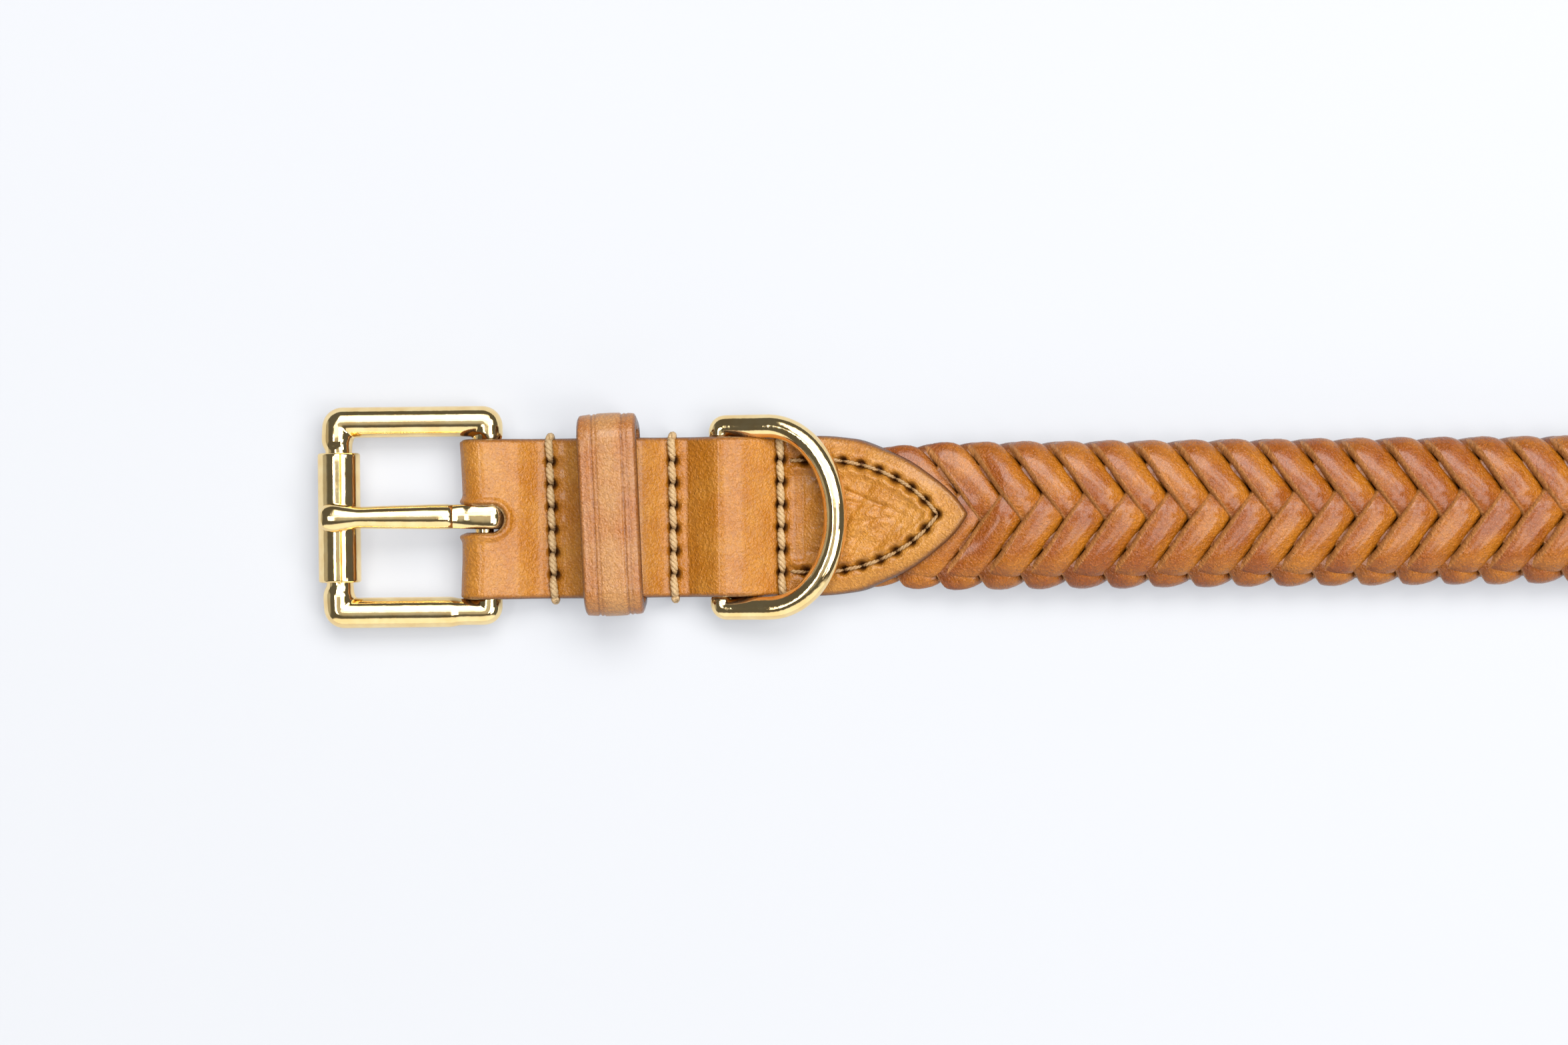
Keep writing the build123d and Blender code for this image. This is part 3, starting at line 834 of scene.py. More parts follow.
def chape_relief(x, y):
    """Height of the creases, puckers and holes on the chape's upper face."""
    inward = seam_distance(x, y)
    from_hole = distance_to(SEAM_HOLES, x, y)
    h = pits(x, y, SEAM_PITS, 0.66, 1.9)
    h -= 0.24 * bump(inward, 0.6) * on_seam(x)
    h += 0.62 * bump(inward - 1.15, 0.75) * smoothstep(0.7, 1.8, from_hole) * on_seam(x)
    h += 0.20 * bump(inward + 1.1, 0.9) * smoothstep(0.5, 1.6, from_hole) * on_seam(x)
    for holes, dips in zip(ROW_HOLES, ROW_PITS):
        line_x = holes[0, 0] + (holes[-1, 0] - holes[0, 0]) * (y + ROW_EDGE) / (2 * ROW_EDGE)
        gap = distance_to(holes[1:-1] + [1.2, 0], x, y)
        h += pits(x, y, dips, 0.74, 2.0)
        h -= 0.22 * bump(x - line_x, 0.7)
        h += 0.14 * bump(x - line_x - 1.5, 0.7) * smoothstep(0.4, 1.6, gap)
    # folds beside the ring's tunnel, then the raised lip round the prong's slot
    h -= 0.16 * bump(x - 58.2 - 0.15 * wave(y / 4, 3), 0.20)
    h -= 0.14 * bump(x - 75.1 - 0.1 * wave(y / 5, 5), 0.20) * smoothstep(9.5, 8, np.abs(y))
    h -= 0.10 * bump(x - 76.3, 0.22) * smoothstep(8.5, 7, np.abs(y))
    h += 0.48 * bump(slot_distance(x, y) - 0.6, 0.55) * smoothstep(20, 23, x)
    inside_v = smoothstep(0.8, 3.0, inward) * smoothstep(76, 80, x)
    h += inside_v * (0.30 * wave(x * 0.7 - y * 0.5, 2) + 0.16 * wave(y * 0.9 + x * 0.4, 7))
    for y0, slope, depth in POINT_CREASES:
        line = bump(y - y0 - (x - 80) * slope, 0.28)
        h -= depth * line * inside_v * smoothstep(93, 87, x)
    return h + 0.10 * wave(x / 3.3, 1) * wave(y / 4.2, 2) * smoothstep(78, 70, x)


def slot_distance(x, y):
    """Distance outside the prong's slot."""
    centre = SLOT_END - SLOT_HALF
    return np.where(x > centre, np.hypot(x - centre, y), np.abs(y)) - SLOT_HALF


def chape_path():
    """The strap's outer face from the upper point, round the fold, to the lower point: its
    line as (station, height), the lengths along it, and the length at the fold's middle."""
    top_x = np.arange(V_TIP + 0.5, BAR_STATION, -0.25)
    top = np.stack([top_x, chape_top(top_x)], 1)
    angle = np.radians(np.linspace(90, 270, 50))
    fold = np.stack(
        [BAR_STATION + FOLD_OUTER * np.cos(angle), BAR_HEIGHT + FOLD_OUTER * np.sin(angle)], 1
    )
    under_x = np.arange(BAR_STATION + 0.25, V_TIP + 1.2, 0.25)
    under = np.stack([under_x, 0 * under_x], 1)
    line = np.concatenate([top, fold, under])
    along = arc_lengths(line)
    return line, along, (along[len(top)] + along[len(top) + len(fold)]) / 2


def outward_of(line):
    """Unit normals of a flat line, on its right."""
    ahead = np.gradient(line, axis=0)
    ahead /= np.linalg.norm(ahead, axis=1)[:, None]
    return np.stack([ahead[:, 1], -ahead[:, 0]], 1)


def chape():
    """One strap folded round the heel bar, pointed at both ends, slotted for the prong."""
    line, along, fold_middle = chape_path()
    outward = outward_of(line)

    def station(u):
        return np.interp(u, along, line[:, 0])

    def is_top(u):
        return u < fold_middle

    def outline(u, v):
        beyond = np.maximum(u - along[-1], 0) + np.maximum(-u, 0)
        x = station(u) + beyond
        reach = np.where(is_top(u), x, x - 0.7)
        slot = -slot_distance(x, v) * smoothstep(40, 36, x) - 9 * smoothstep(36, 40, x)
        return np.maximum(edge_distance(v_half_width, reach, v), slot)

    def bend(u, v, h):
        px, nx = station(u), np.interp(u, along, outward[:, 0])
        pz, nz = np.interp(u, along, line[:, 1]), np.interp(u, along, outward[:, 1])
        drop = np.where(is_top(u), droop(px, v), 0)
        lean = 0.35 * bump(u - fold_middle, 9.0) * (1 - (v / STRAP_HALF) ** 2)
        return np.stack([px + nx * h + lean, v, pz + nz * h - drop], 1)

    def thick(u):
        return LEATHER - (LEATHER - FOLD_LEATHER) * bump(u - fold_middle, 9.0)

    def relief(u, v):
        x = station(u)
        return np.where(is_top(u), chape_relief(x, v), 0.02 * wave(x / 2, 4) - 0.04)

    def paint(u, v, depth):
        x = station(u)
        # Painted shade: the stitch holes, the groove along the V seam and the creases beside the ring's
        # tunnel are darkened where shade falls in them.
        dark = 1.5 * bump(distance_to(SEAM_PITS, x, v), 0.75)
        for dips in ROW_PITS:
            dark = np.maximum(dark, 1.5 * bump(distance_to(dips, x, v), 0.85))
        dark = np.maximum(dark, 0.35 * bump(seam_distance(x, v), 0.35) * on_seam(x))
        for line_x, strength in ((58.2, 0.32), (75.1, 0.25), (76.3, 0.12)):
            dark = np.maximum(dark, strength * bump(x - line_x, 0.22))
        rim = 0.6 * bump(depth, 0.4) + 0.3 * bump(depth, 1.1) * smoothstep(76, 90, x)
        dark = np.maximum(dark, rim)
        dark = np.where(is_top(u), dark, 0.12 + 0.5 * bump(depth, 0.5))
        tone_and_highlight = 0.55 * smoothstep(76, 82, x) + 0.4 * smoothstep(88, 100, x) - 0.2
        # Painted highlight: the fold round the heel bar is lightened where it faces the light.
        tone_and_highlight = tone_and_highlight + 0.35 * smoothstep(30, 22, x)
        return np.clip(dark, 0, 1), np.where(is_top(u), tone_and_highlight, -0.3)

    piece = sheet(
        "chape_leather", outline, (0, along[-1]), (-13.0, 13.0), 0.285, thick, bend, relief,
        paint, STRAP, 0.55,
    )
    finish_rigid(piece, "chape", "chape_strap")


# ---- stitching -----------------------------------------------------------------------


STITCH_STEPS = 18  # points of a thread's path in each stitch


def over_and_under(holes, face, rise, dip):
    """A thread's path that lies on a face between holes and dives at each one."""
    path = []
    for (x0, y0), (x1, y1) in zip(holes, holes[1:]):
        for t in np.linspace(0, 1, STITCH_STEPS, endpoint=False):
            x, y = x0 + (x1 - x0) * t, y0 + (y1 - y0) * t
            arch = math.sin(math.pi * t)
            lift = rise * min(1.0, 1.5 * arch**0.6) - dip * (1 - arch) ** 2.6
            path.append((x, y, face(x, y) + lift))
    x, y = holes[-1]
    path.append((x, y, face(x, y) - dip))
    return path


def stitch_row(number, holes, face, body):
    """A row of thick stitches, round both edges of the strap and back underneath."""
    radius, on_edge, past_edge, half_way = 0.66, 12.75, 12.95, 2.4
    rim = [tuple(p) for p in holes]
    rim[0] = (rim[0][0], rim[0][1] - 0.1)
    rim[-1] = (rim[-1][0], rim[-1][1] + 0.1)
    top = over_and_under(rim, lambda x, y: face(x, y) + 0.06, 0.36, 2.6)
    slant = [0.12 * math.cos(math.pi * (i % STITCH_STEPS) / STITCH_STEPS) for i in range(len(top))]
    top = [(x + d, y, z) for (x, y, z), d in zip(top, slant)]
    head, tail = top[0][0], top[-1][0]
    top[0] = (head, -on_edge, face(head, -12.4) - 0.25)
    top[-1] = (tail, on_edge, face(tail, 12.4) - 0.25)
    under = [(x, y, 0.80 - 0.1 * math.cos(i * 0.6)) for i, (x, y, _) in enumerate(top[::-1])]
    path = np.array(top + [(tail, past_edge, half_way)] + under + [(head, -past_edge, half_way)])
    path = resample(np.concatenate([path, path[:1]]), 0.17)[:-1]
    on_top = path[:, 2] > 1.4
    radii = np.where(on_top, drawn_in(path, holes[1:-1], radius, 0.5, 0.75), radius)
    verts, faces = twisted(path, radii, 3, 2.5, closed=True)
    piece = make(f"row_thread_{number}", verts, faces, THREAD)
    finish_rigid(piece, body, f"stitch_row_{number}")


def chape_face(x, y):
    """Height of the chape's upper face, without its creases."""
    return float(chape_top(x) - droop(np.array(x), np.array(y)))


def v_stitching(name, body, node, far):
    """Fine two-ply stitches along a pointed end, above and below. far is for the far one."""
    def to(x):
        return MIRROR - x if far else x

    holes = [tuple(p) for p in SEAM_HOLES]
    top = over_and_under(holes, lambda x, y: chape_face(x, y) - 0.05, 0.22, 2.2)
    under = over_and_under(holes, lambda x, y: 0.30, 0.05, -0.25)
    parts = []
    for path in (top, under):
        line = resample([(to(x), y, z) for x, y, z in path], 0.14)
        radii = drawn_in(line, [(to(x), y) for x, y in holes], 0.33, 0.55, 0.6)
        parts.append(twisted(line, radii, 2, 1.5))
    verts, faces = join(parts)
    piece = make(name, verts, faces, FINE_THREAD)
    finish_rigid(piece, body, node)


# ---- keeper --------------------------------------------------------------------------


KEEPER_STATION, KEEPER_HALF = 45.5, 4.55
KEEPER_OUTER, KEEPER_LOW, KEEPER_HIGH = 31.2, 2.3, 12.7
KEEPER_LEAN = math.radians(2.0)
KEEPER_THICK = 2.0
KEEPER_LINES = 2.35  # its two main creases' distance from the middle


def keeper_path():
    """The loop's outer face across the strap, from the middle of its lower run."""
    a, low, high = KEEPER_OUTER / 2, KEEPER_LOW, KEEPER_HIGH
    lower, upper = 2.9, 4.2  # radii of the corners
    points = [(0.0, low)]
    centres = [(a - upper + 0.7, low + 3.0, -90, lower), (a - upper, high - upper, 0, upper)]
    centres += [(-a + upper, high - upper, 90, upper), (-a + upper - 0.7, low + 3.0, 180, lower)]
    for cy, cz, start, radius in centres:
        for angle in np.radians(np.linspace(start, start + 90, 16)):
            points.append((cy + radius * math.cos(angle), cz + radius * math.sin(angle)))
    points.append((0.0, low))
    return resample(points, 0.3)


def keeper():
    """A loop of leather with two creased lines, its ends meeting inside the chape."""
    line = keeper_path()
    along = arc_lengths(line)
    outward = outward_of(line)

    def outline(u, v):
        ends = np.maximum(0.03 - u, u - along[-1] + 0.03)
        return np.maximum(np.abs(v) - KEEPER_HALF, ends)

    def bend(u, v, h):
        y = np.interp(u, along, line[:, 0]) + np.interp(u, along, outward[:, 0]) * h
        z = np.interp(u, along, line[:, 1]) + np.interp(u, along, outward[:, 1]) * h
        z = z - 0.10 * (v / KEEPER_HALF) ** 2 * smoothstep(8, 11, z)
        x = KEEPER_STATION + v * math.cos(KEEPER_LEAN) - y * math.sin(KEEPER_LEAN)
        x = x - 0.04 * (z - 7)
        y = y * math.cos(KEEPER_LEAN) + v * math.sin(KEEPER_LEAN)
        return np.stack([x + KEEPER_ASIDE[0], y + KEEPER_ASIDE[1], z], 1)

    def relief(u, v):
        wander = 0.08 * wave(u / 6, 2)
        h = -0.26 * (bump(v - KEEPER_LINES - wander, 0.19) + bump(v + KEEPER_LINES, 0.19))
        h -= 0.16 * (bump(v - 3.0, 0.18) + bump(v + 1.75, 0.16))
        h += 0.30 * (1 - (v / KEEPER_HALF) ** 2)
        return h + 0.06 * wave(u / 3.1, 1) * wave(v / 2.1, 4)

    def paint(u, v, depth):
        broken = 0.65 + 0.35 * wave(u * 1.3, 3)
        dark = 0.8 * broken * (bump(v - KEEPER_LINES, 0.17) + bump(v + KEEPER_LINES, 0.15))
        dark += 0.45 * broken * (bump(v - 3.0, 0.13) + bump(v + 1.75, 0.12))
        # Dyed edges, darkened more on the right, and the bands outside the creased lines a little
        # darker: painted shade where the loop's crown turns away from the light.
        dark += (0.3 + 0.2 * smoothstep(-1, 1, v)) * bump(depth, 0.35)
        dark += 0.06 * smoothstep(2.3, 2.9, v) + 0.03 * smoothstep(-2.3, -2.7, v)
        # Painted highlight: the middle of the crown is lightened where it faces the light; the wave
        # along the loop is the leather's own.
        return np.clip(dark, 0, 1), 0.9 * bump(v, 1.9) + 0.3 * wave(u / 5, 6) - 0.2

    piece = sheet(
        "keeper_loop", outline, (0.03, along[-1] - 0.03), (-4.9, 4.9), 0.2, KEEPER_THICK, bend,
        relief, paint, KEEPER_LEATHER, 0.45,
    )
    finish_rigid(piece, "keeper", "keeper")


def keeper_seam():
    """Cross stitches over the keeper's butted ends."""
    middle = KEEPER_LOW + KEEPER_THICK / 2
    parts = []
    for x in (-2.4, 0.0, 2.4):
        path = [(KEEPER_STATION + x, y, middle) for y in np.linspace(-2.3, 2.3, 30)]
        parts.append(twisted(path, 0.36, 2, 1.5))
    verts, faces = join(parts)
    piece = make("keeper_thread", verts, faces, FINE_THREAD)
    finish_rigid(piece, "keeper", "keeper_seam")


# ---- plait ---------------------------------------------------------------------------


GIRTH = 50.0  # counted round the plait, whatever its true girth
STRANDS = 5  # each way round
LEAD = 32.7  # how far along the plait a strand goes round once
RATE = GIRTH / LEAD
PHASE = 0.965
SEAM_SHIFT = 1.1  # girth from the front's middle to the seam where the two ways meet
FRONT_REACH = 11.5  # girth from the front seam to where the strands dive at the sides
DIVE = 2.2  # half the girth that a strand takes to go from over to under
STRAND_HALF = 2.78
STRAND_THICK = 1.5
LIFT = 0.66  # a strand's height over or under the plait's middle surface
SHINGLE = 0.50  # and how much higher its left edge lies than its right
BASE_HALF_WIDTH, BASE_HALF_HEIGHT, BASE_POWER = 10.1, 3.1, 2.4
SECTION_COUNT = 1000
RESTING = 0.5  # below this height the strands are pressed flat by what they lie on
STRAND_SECTION = (
    # across, height: a sloping cut left face, a crowned grain side, a right side tucked down
    (-1.00, -0.50), (-0.985, -0.10), (-0.93, 0.18), (-0.83, 0.50), (-0.79, 0.545),
    (-0.70, 0.60), (-0.45, 0.70), (-0.15, 0.75), (0.15, 0.73), (0.45, 0.62), (0.70, 0.42),
    (0.86, 0.20), (0.95, -0.02), (1.00, -0.25), (0.96, -0.46), (0.60, -0.50), (0.0, -0.50),
    (-0.60, -0.50),
)
CUT_FACE = (0.9, 1.0, 1.0, 0.95, 0.2)  # how raw the section's first points are
FLESH_SIDE, FLESH_RAW = 14, 0.7  # from this point of the section on, and how raw


def base_section():
    """Points round the plait's middle surface by girth, from the front's centre upward."""
    angle = np.linspace(0, 2 * np.pi, 1441)
    c, s = np.cos(angle), np.sin(angle)
    y = BASE_HALF_WIDTH * np.sign(s) * np.abs(s) ** (2 / BASE_POWER)
    z = BASE_HALF_HEIGHT * np.sign(c) * np.abs(c) ** (2 / BASE_POWER)
    along = arc_lengths(np.stack([y, z], 1))
    girth = along / along[-1] * GIRTH
    even = np.linspace(0, GIRTH, SECTION_COUNT + 1)
    return np.stack([np.interp(even, girth, y), np.interp(even, girth, z)], 1)


SECTION = base_section()


def on_section(s, out):
    """Place in the plait's section at girth s, raised out from its middle surface."""
    t = (np.asarray(s, float) % GIRTH) / GIRTH * SECTION_COUNT
    i = np.floor(t).astype(int) % SECTION_COUNT
    f = (t - np.floor(t))[..., None]
    here = SECTION[i] * (1 - f) + SECTION[i + 1] * f
    wide = 12  # points each way that the normal is taken over, so that corners stay soft

    def chord(k):
        return SECTION[(k + wide) % SECTION_COUNT] - SECTION[(k - wide) % SECTION_COUNT]

    tangent = chord(i) * (1 - f) + chord(i + 1) * f
    tangent /= np.linalg.norm(tangent, axis=-1)[..., None]
    normal = np.stack([-tangent[..., 1], tangent[..., 0]], -1)
    return here + normal * np.asarray(out)[..., None]


def over_factor(s, family):
    """1 where a strand of the family lies on top at girth s, -1 where it lies under."""
    half = GIRTH / 2
    s = (np.asarray(s, float) - SEAM_SHIFT + half) % GIRTH - half

    def rise(edge):
        return smoothstep(edge - DIVE, edge + DIVE, s)

    front = rise(0) - rise(FRONT_REACH)
    back = 1 - rise(-FRONT_REACH) + rise(half)
    falling = 2 * np.clip(front + back, 0, 1) - 1
    return falling if family == 0 else -falling


def strand_girth(family, index, x):
    """Girth of a strand's middle at the stations x, and how fast it changes along them."""
    rate = -RATE if family == 0 else RATE
    apart = GIRTH / STRANDS
    start = apart * index + (apart / 2 if family else 0.0)
    return start + SEAM_SHIFT + rate * (x - PHASE), rate


def near(station):
    """A station measured from the nearer end of the plait."""
    return np.minimum(station, MIRROR - station)


def strand(family, index, start, end):
    """One strand between two stations: points, faces, rest places and paint."""
    seed = index + 7 * family
    across, height = np.array(STRAND_SECTION).T
    x = np.linspace(start, end, max(8, int((end - start) / 0.32)))
    s, rate = strand_girth(family, index, x)
    s = s + 0.22 * wave(x / 5.5, seed)
    angle = math.atan(RATE)
    lift = over_factor(s, family)

    u = (STRAND_HALF * (1 + 0.035 * wave(x / 3.7, seed + 3)))[:, None] * across[None, :]
    station = x[:, None] + u * math.sin(angle)
    girth = s[:, None] - np.sign(rate) * u * math.cos(angle)
    crown = STRAND_THICK * height[None, :] * (1 + 0.05 * wave(x / 2.9, seed + 5)[:, None])
    ripple = wave(x[:, None] / 0.9 + across[None, :] * 2.2, seed)
    crown = crown + 0.035 * ripple * (height[None, :] > 0)
    yz = on_section(girth, LIFT * lift[:, None] - SHINGLE * across[None, :] + crown)
    y = yz[..., 0] * (1 - 0.05 * smoothstep(100, 88, near(station)))
    low, high = plait_floor(near(station)), plait_ceiling(near(station))
    z = low + (yz[..., 1] / PLAIT_THICK + 0.5) * (high - low)
    z = np.where(z < RESTING, RESTING * np.exp((z - RESTING) / RESTING), z)
    verts = np.stack([station, y, z], 2).reshape(-1, 3)

    length = np.broadcast_to((x / math.cos(angle))[:, None], u.shape)
    rest = np.stack([length + 37.0 * seed, u + 11.0 * seed, 0 * u], 2).reshape(-1, 3)
    edge = np.zeros(len(across))
    edge[: len(CUT_FACE)] = CUT_FACE
    edge[FLESH_SIDE:] = FLESH_RAW
    # Painted shade in the gaps at both edges of the strand and where it dives under the others; it is
    # also darker towards the plait's sides.
    dark = 1.1 * bump(across - 1.0, 0.17) + 0.5 * bump(across + 1.02, 0.06)
    dark = dark + 0.15 * smoothstep(7.5, 11.5, np.abs(y))
    dark = dark + 0.5 * smoothstep(0.25, -0.6, lift)[:, None]
    tone_and_highlight = 0.3 * wave(seed * 3.3 + x / 9.0, seed)[:, None]
    # Painted highlight: the right part of each strand is lightened, where its crown faces the light.
    tone_and_highlight = tone_and_highlight + 0.6 * smoothstep(-0.6, 0.8, across)[None, :] - 0.2
    paint = np.stack([np.broadcast_to(edge, u.shape), np.clip(dark, 0, 1), tone_and_highlight], 2)

    faces = strip_faces(len(x), len(across))
    faces.append(list(range(len(across))))
    faces.append(list(range(len(verts) - len(across), len(verts)))[::-1])
    return verts, faces, rest, paint.reshape(-1, 3)


def hidden_station(family, index, wanted):
    """The station near the one wanted where this strand runs deepest under the others."""
    x = np.linspace(wanted - 9.5, wanted + 9.5, 400)
    s, _ = strand_girth(family, index, x)
    score = sum(over_factor(s + d, family) for d in (-3, 0, 3)) + 0.02 * np.abs(x - wanted)
    return x[int(np.argmin(score))]


def plait_lengths(start):
    """The plait from a start station to its mirror image, cut half way between bends."""
    middles = [(a + b) / 2 for a, b in zip(PLAIT_BENDS, PLAIT_BENDS[1:])]
    limits = [start] + middles + [MIRROR - start]
    return list(zip(limits, limits[1:]))


def finish_length(piece, k, node):
    """One length of the plait. The last one takes the place of two CAD nodes."""
    numbers = (k, k + 1) if k == len(PLAIT_BENDS) - 1 else (k,)
    a, b = PLAIT_BODIES[k : k + 2]
    nodes = [f"{node}_{i}" for i in numbers]
    finish_across(piece, a, b, PLAIT_BENDS[k], PLAIT_THICK / 2, nodes)


def plait():
    """The strands, in one piece for each bend that they cross. A strand is cut where it is
    hidden, except at the plait's own ends."""
    lengths = plait_lengths(V_SHOULDER)
    for k, (start, end) in enumerate(lengths):
        strands = []
        for family in (0, 1):
            for index in range(STRANDS):
                a = start if k == 0 else hidden_station(family, index, start)
                b = end if k == len(lengths) - 1 else hidden_station(family, index, end)
                strands.append(strand(family, index, a, b))
        verts, faces = join([(v, f) for v, f, _, _ in strands])
        rest, paint = (np.concatenate([part[i] for part in strands]) for i in (2, 3))
        piece = make(f"plait_strands_{k}", verts, faces, PLAIT, rest, paint, sharp=48)
        finish_length(piece, k, "plait_cover")


def plait_core():
    """Seven filler cords side by side inside the strands."""
    for k, (start, end) in enumerate(plait_lengths(100.0)):
        x = np.arange(start, end + 0.4, 0.8)
        low, high = plait_floor(near(x)), plait_ceiling(near(x))
        radius = 1.2 * np.clip((high - low) / PLAIT_THICK, 0.3, 1)
        cords = []
        for i in range(-3, 4):
            path = np.stack([x, 2.35 * i + 0.08 * wave(x / 4, i), (high + low) / 2], 1)
            cords.append(tube(path, radius, 10))
        piece = make(f"plait_filler_{k}", *join(cords), CORE)
        finish_length(piece, k, "plait_core")


# ---- billet --------------------------------------------------------------------------


BILLET_CREASE = 10.6  # the crease along each edge, from the middle


def billet_half_width(x):
    """Half the billet's width: pointed at the plait, rounded to a point at the free end."""
    return np.where(x > 450, billet_point(x), v_half_width(MIRROR - x))


def beyond_join(x):
    """1 between the far join and the free end's point."""
    return smoothstep(402, 406, x) * smoothstep(560, 552, x)


def billet_relief(x, y):
    """Height of the puckers, the holes' rims and the edge creases."""
    h = np.where(x < 402, 0.9 * far_seam_relief(MIRROR - x, y), 0)
    h = h + 0.05 * wave(x / 6, 2) * wave(y / 4, 3)
    for station in HOLES:
        h = h - 0.25 * bump(np.hypot(x - station, y) - HOLE_RADIUS, 0.55)
    return h - 0.14 * bump(np.abs(np.abs(y) - BILLET_CREASE), 0.18) * beyond_join(x)


def far_seam_relief(x, y):
    """The V seam's puckers alone, for the billet's pointed end."""
    inward = seam_distance(x, y)
    pucker = 0.24 * bump(inward - 1.0, 0.8) - 0.16 * bump(inward, 0.55)
    return pits(x, y, SEAM_HOLES[1:-1], 0.5, 1.3) + pucker * on_seam(x)


def billet_piece(name, start, end):
    """One length of the billet strap, from one station to another."""
    def outline(u, v):
        d = edge_distance(billet_half_width, u, v)
        for station in HOLES:
            d = np.maximum(d, HOLE_RADIUS - np.hypot(u - station, v))
        return d

    def bend(u, v, h):
        drop = np.where(u < 400, droop(MIRROR - u, v), 0)
        return np.stack([u, v, billet_top(u) + h - drop], 1)

    def thick(u):
        return LEATHER + (BILLET_THICK - LEATHER) * smoothstep(372, 401, u)

    def paint(u, v, depth):
        dark = 0.5 * bump(depth, 0.5)
        # Darker round the buckle holes; painted shade in the stitch holes of the pointed end.
        for station in HOLES:
            dark = np.maximum(dark, 0.7 * bump(np.hypot(u - station, v) - HOLE_RADIUS, 0.5))
        from_stitch = distance_to(SEAM_HOLES[1:-1], MIRROR - u, v)
        dark = np.maximum(dark, 1.3 * bump(from_stitch, 0.55))
        crease = bump(np.abs(np.abs(v) - BILLET_CREASE), 0.25) * beyond_join(u)
        return np.clip(np.maximum(dark, 0.4 * crease), 0, 1), 0.1 + 0 * u

    return sheet(
        name, outline, (start, end), (-13.0, 13.0), 0.32, thick, bend, billet_relief, paint,
        STRAP, 0.5, sharp=75,
    )


def billet():
    """The billet strap in one piece for each bend, cut where nothing bends."""
    limits = [FAR_TIP - 0.5, *BILLET_CUTS, LENGTH + 0.6]
    bodies = ["billet_join", "billet_1", "billet_2", "billet_3"]
    nodes = (["billet_root", "billet_1"], ["billet_2"], ["billet_3"])
    for k, bend in enumerate(BILLET_BENDS):
        piece = billet_piece(f"billet_leather_{k}", limits[k], limits[k + 1])
        a, b = bodies[k : k + 2]
        finish_across(piece, a, b, bend, BILLET_THICK / 2, nodes[k])


def backing():
    """The pointed layer under the plait's far end, skived where the billet starts."""
    def outline(u, v):
        return np.maximum(edge_distance(v_half_width, MIRROR - u - 0.6, v), u - BACKING_END)

    def top(u):
        return LEATHER - 1.5 * smoothstep(393, BACKING_END, u)

    def bend(u, v, h):
        return np.stack([u, v, top(u) + h], 1)

    def paint(u, v, depth):
        return 0.15 + 0.4 * bump(depth, 0.5), -0.2 + 0 * u

    piece = sheet(
        "backing_leather", outline, (FAR_TIP - 1.0, BACKING_END + 0.1), (-13.0, 13.0), 0.4, top,
        bend, lambda u, v: 0 * u, paint, STRAP, 0.3,
    )
    finish_rigid(piece, "billet_join", "backing")


# ---- floor, lights, camera -------------------------------------------------------------


def floor():
    """A wide pale sheet that glows a little, as paper lit from all around does."""
    far, low = 3000, -0.02
    verts = [(-far, -far, low), (far + 500, -far, low), (far + 500, far, low), (-far, far, low)]
    material = Nodes("studio_floor").set(
        Base_Color=seen(190, 191, 193), Roughness=0.9, Specular_IOR_Level=0.0,
        Emission_Color=(0.91, 0.95, 1.04, 1.0), Emission_Strength=0.38,
    )
    make("floor", verts, [[0, 1, 2, 3]], material)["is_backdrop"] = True


def window_lights():
    """Soft windows overhead. Each is given by its two corners, as how far they reach in X
    and Y for every metre up, seen from the buckle, and by its brightness."""
    height, buckle_x = 2.0, -0.2
    panes = {
        "window": ((-0.35, 0.06), (0.80, 1.40), 2.0),
        "window_sun": ((-0.30, 0.34), (0.50, 0.98), 8.0),
        "window_left": ((-0.51, -0.27), (-0.34, 0.14), 10.0),
        "window_right": ((0.20, -0.45), (0.70, 0.22), 6.0),
        "window_far_upper": ((0.60, 0.20), (1.10, 0.72), 8.0),
        "window_far_lower": ((0.60, -0.72), (1.10, -0.20), 8.0),
    }
    for name, (low, high, radiance) in panes.items():
        data = bpy.data.lights.new(name, "AREA")
        data.shape = "RECTANGLE"
        data.size, data.size_y = height * (high[0] - low[0]), height * (high[1] - low[1])
        data.energy = radiance * math.pi * data.size * data.size_y
        data.color = (1.0, 0.995, 0.985)
        lamp = bpy.data.objects.new(name, data)
        x, y = (height * (a + b) / 2 for a, b in zip(low, high))
        below_window = 0.0 if name == "window" else 0.02
        lamp.location = (buckle_x + x, y, height - below_window)
        bpy.context.scene.collection.objects.link(lamp)


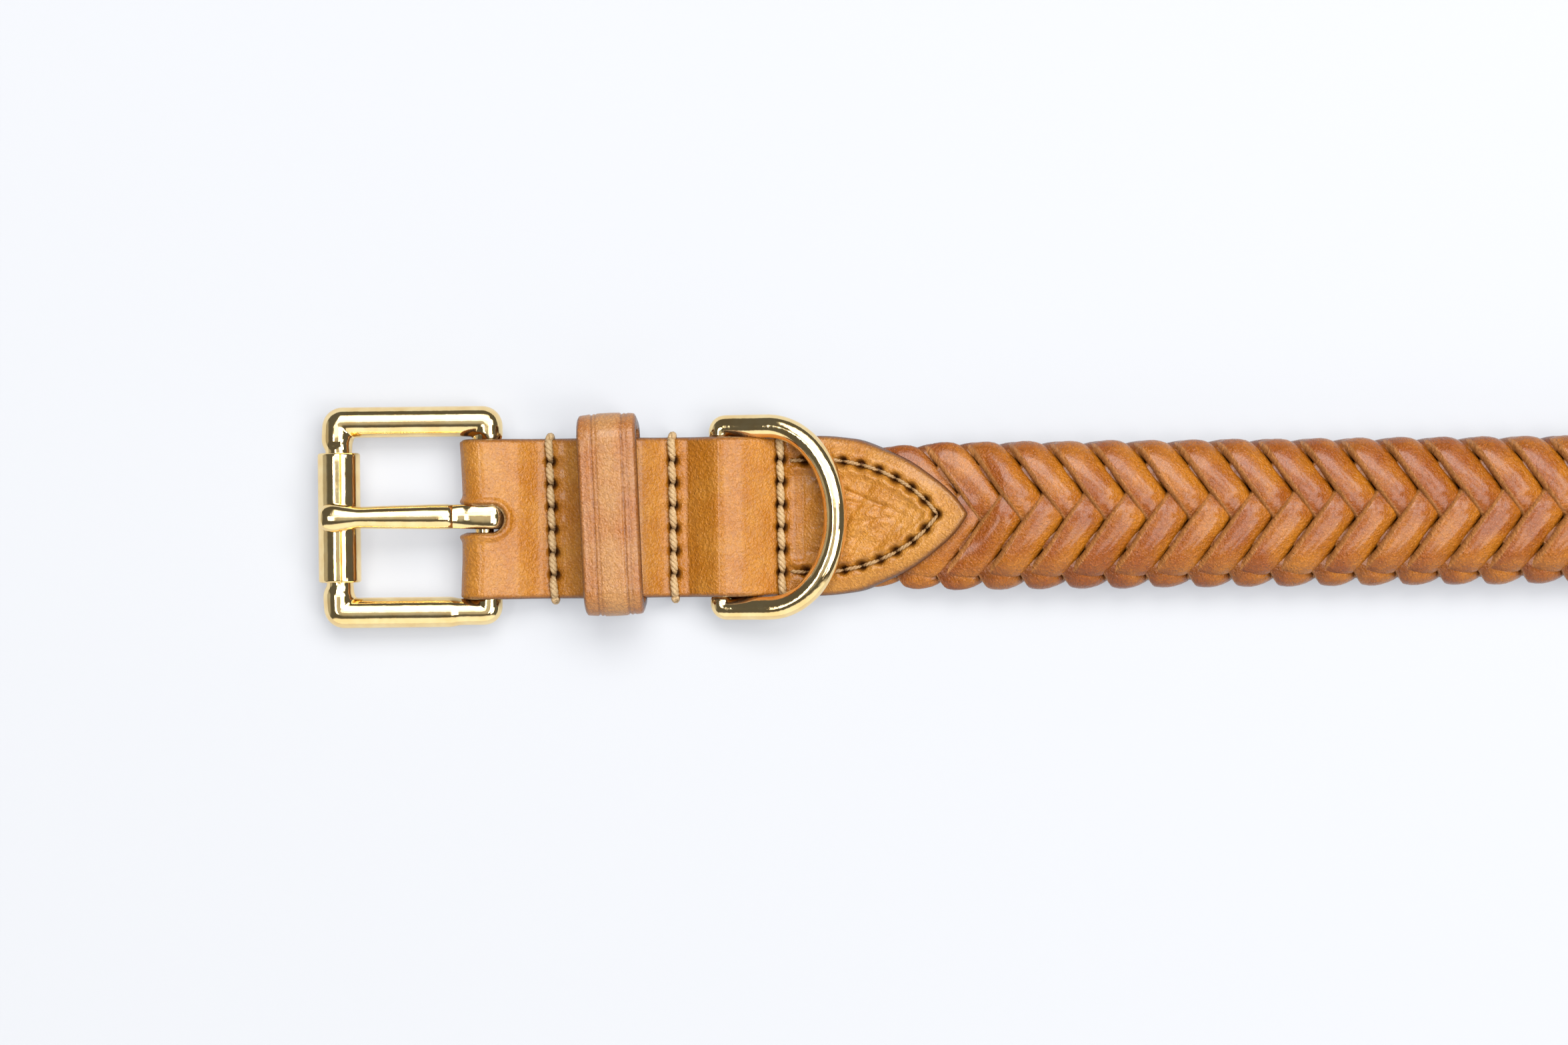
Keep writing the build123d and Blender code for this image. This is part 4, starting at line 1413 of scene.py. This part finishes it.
def world():
    """A dim room for the metal to mirror: a pale wall on the -Y side, a dimmer one past the
    buckle, and a pale patch of ceiling straight above."""
    scene = bpy.context.scene
    scene.world = bpy.data.worlds.new("studio")
    scene.world.use_nodes = True
    tree = scene.world.node_tree
    coordinate = tree.nodes.new("ShaderNodeTexCoord")
    split = tree.nodes.new("ShaderNodeSeparateXYZ")
    tree.links.new(coordinate.outputs["Generated"], split.inputs[0])

    def ramp(value, low, high, out_low, out_high):
        node = tree.nodes.new("ShaderNodeMapRange")
        tree.links.new(value, node.inputs[0])
        for i, number in enumerate((low, high, out_low, out_high), 1):
            node.inputs[i].default_value = number
        return node.outputs[0]

    def add(a, b):
        node = tree.nodes.new("ShaderNodeMath")
        tree.links.new(a, node.inputs[0])
        tree.links.new(b, node.inputs[1])
        return node.outputs[0]

    wall = ramp(split.outputs["Y"], -0.62, -0.70, 0.0, 1.15)
    left = ramp(split.outputs["X"], -0.86, -0.93, 0.0, 0.35)
    room = ramp(split.outputs["Z"], 0.90, 0.985, 0.12, 0.60)
    total = add(add(wall, left), room)
    background = tree.nodes["Background"]
    background.inputs["Color"].default_value = (1.0, 0.985, 0.96, 1.0)
    tree.links.new(total, background.inputs["Strength"])


def camera():
    """Straight above, the strap rising a little to the right as it lies in the frame."""
    data = bpy.data.cameras.new("camera")
    distance, view_width = 0.60, 0.2465
    data.sensor_width = 36.0
    data.lens = data.sensor_width * distance / view_width
    eye = bpy.data.objects.new("camera", data)
    x, y, z = place([(73.36, -1.0, 5.0)])[0]
    eye.location = (x, y, z + distance)
    eye.rotation_euler = (0, 0, math.radians(-0.62))
    bpy.context.scene.collection.objects.link(eye)
    bpy.context.scene.camera = eye


# ---- the whole scene -------------------------------------------------------------------

buckle_frame()
roller()
prong()
d_ring()
chape()
for number, holes in enumerate(ROW_HOLES, 1):
    stitch_row(number, holes, chape_face, "chape")
for number, station in enumerate(FAR_ROWS, 4):
    holes = row_holes(station, FAR_ROW_TILT)
    stitch_row(number, holes, lambda x, y: float(billet_top(x)), "billet_join")
v_stitching("v_thread_front", "chape", "v_stitching_front", False)
v_stitching("v_thread_far", "billet_join", "v_stitching_far", True)
keeper()
keeper_seam()
plait()
plait_core()
billet()
backing()

floor()
world()
window_lights()
camera()
bpy.context.scene.view_settings.view_transform = "Standard"

boxes = [[list(map(float, corner)) for corner in b] for b in (cad_box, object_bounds())]
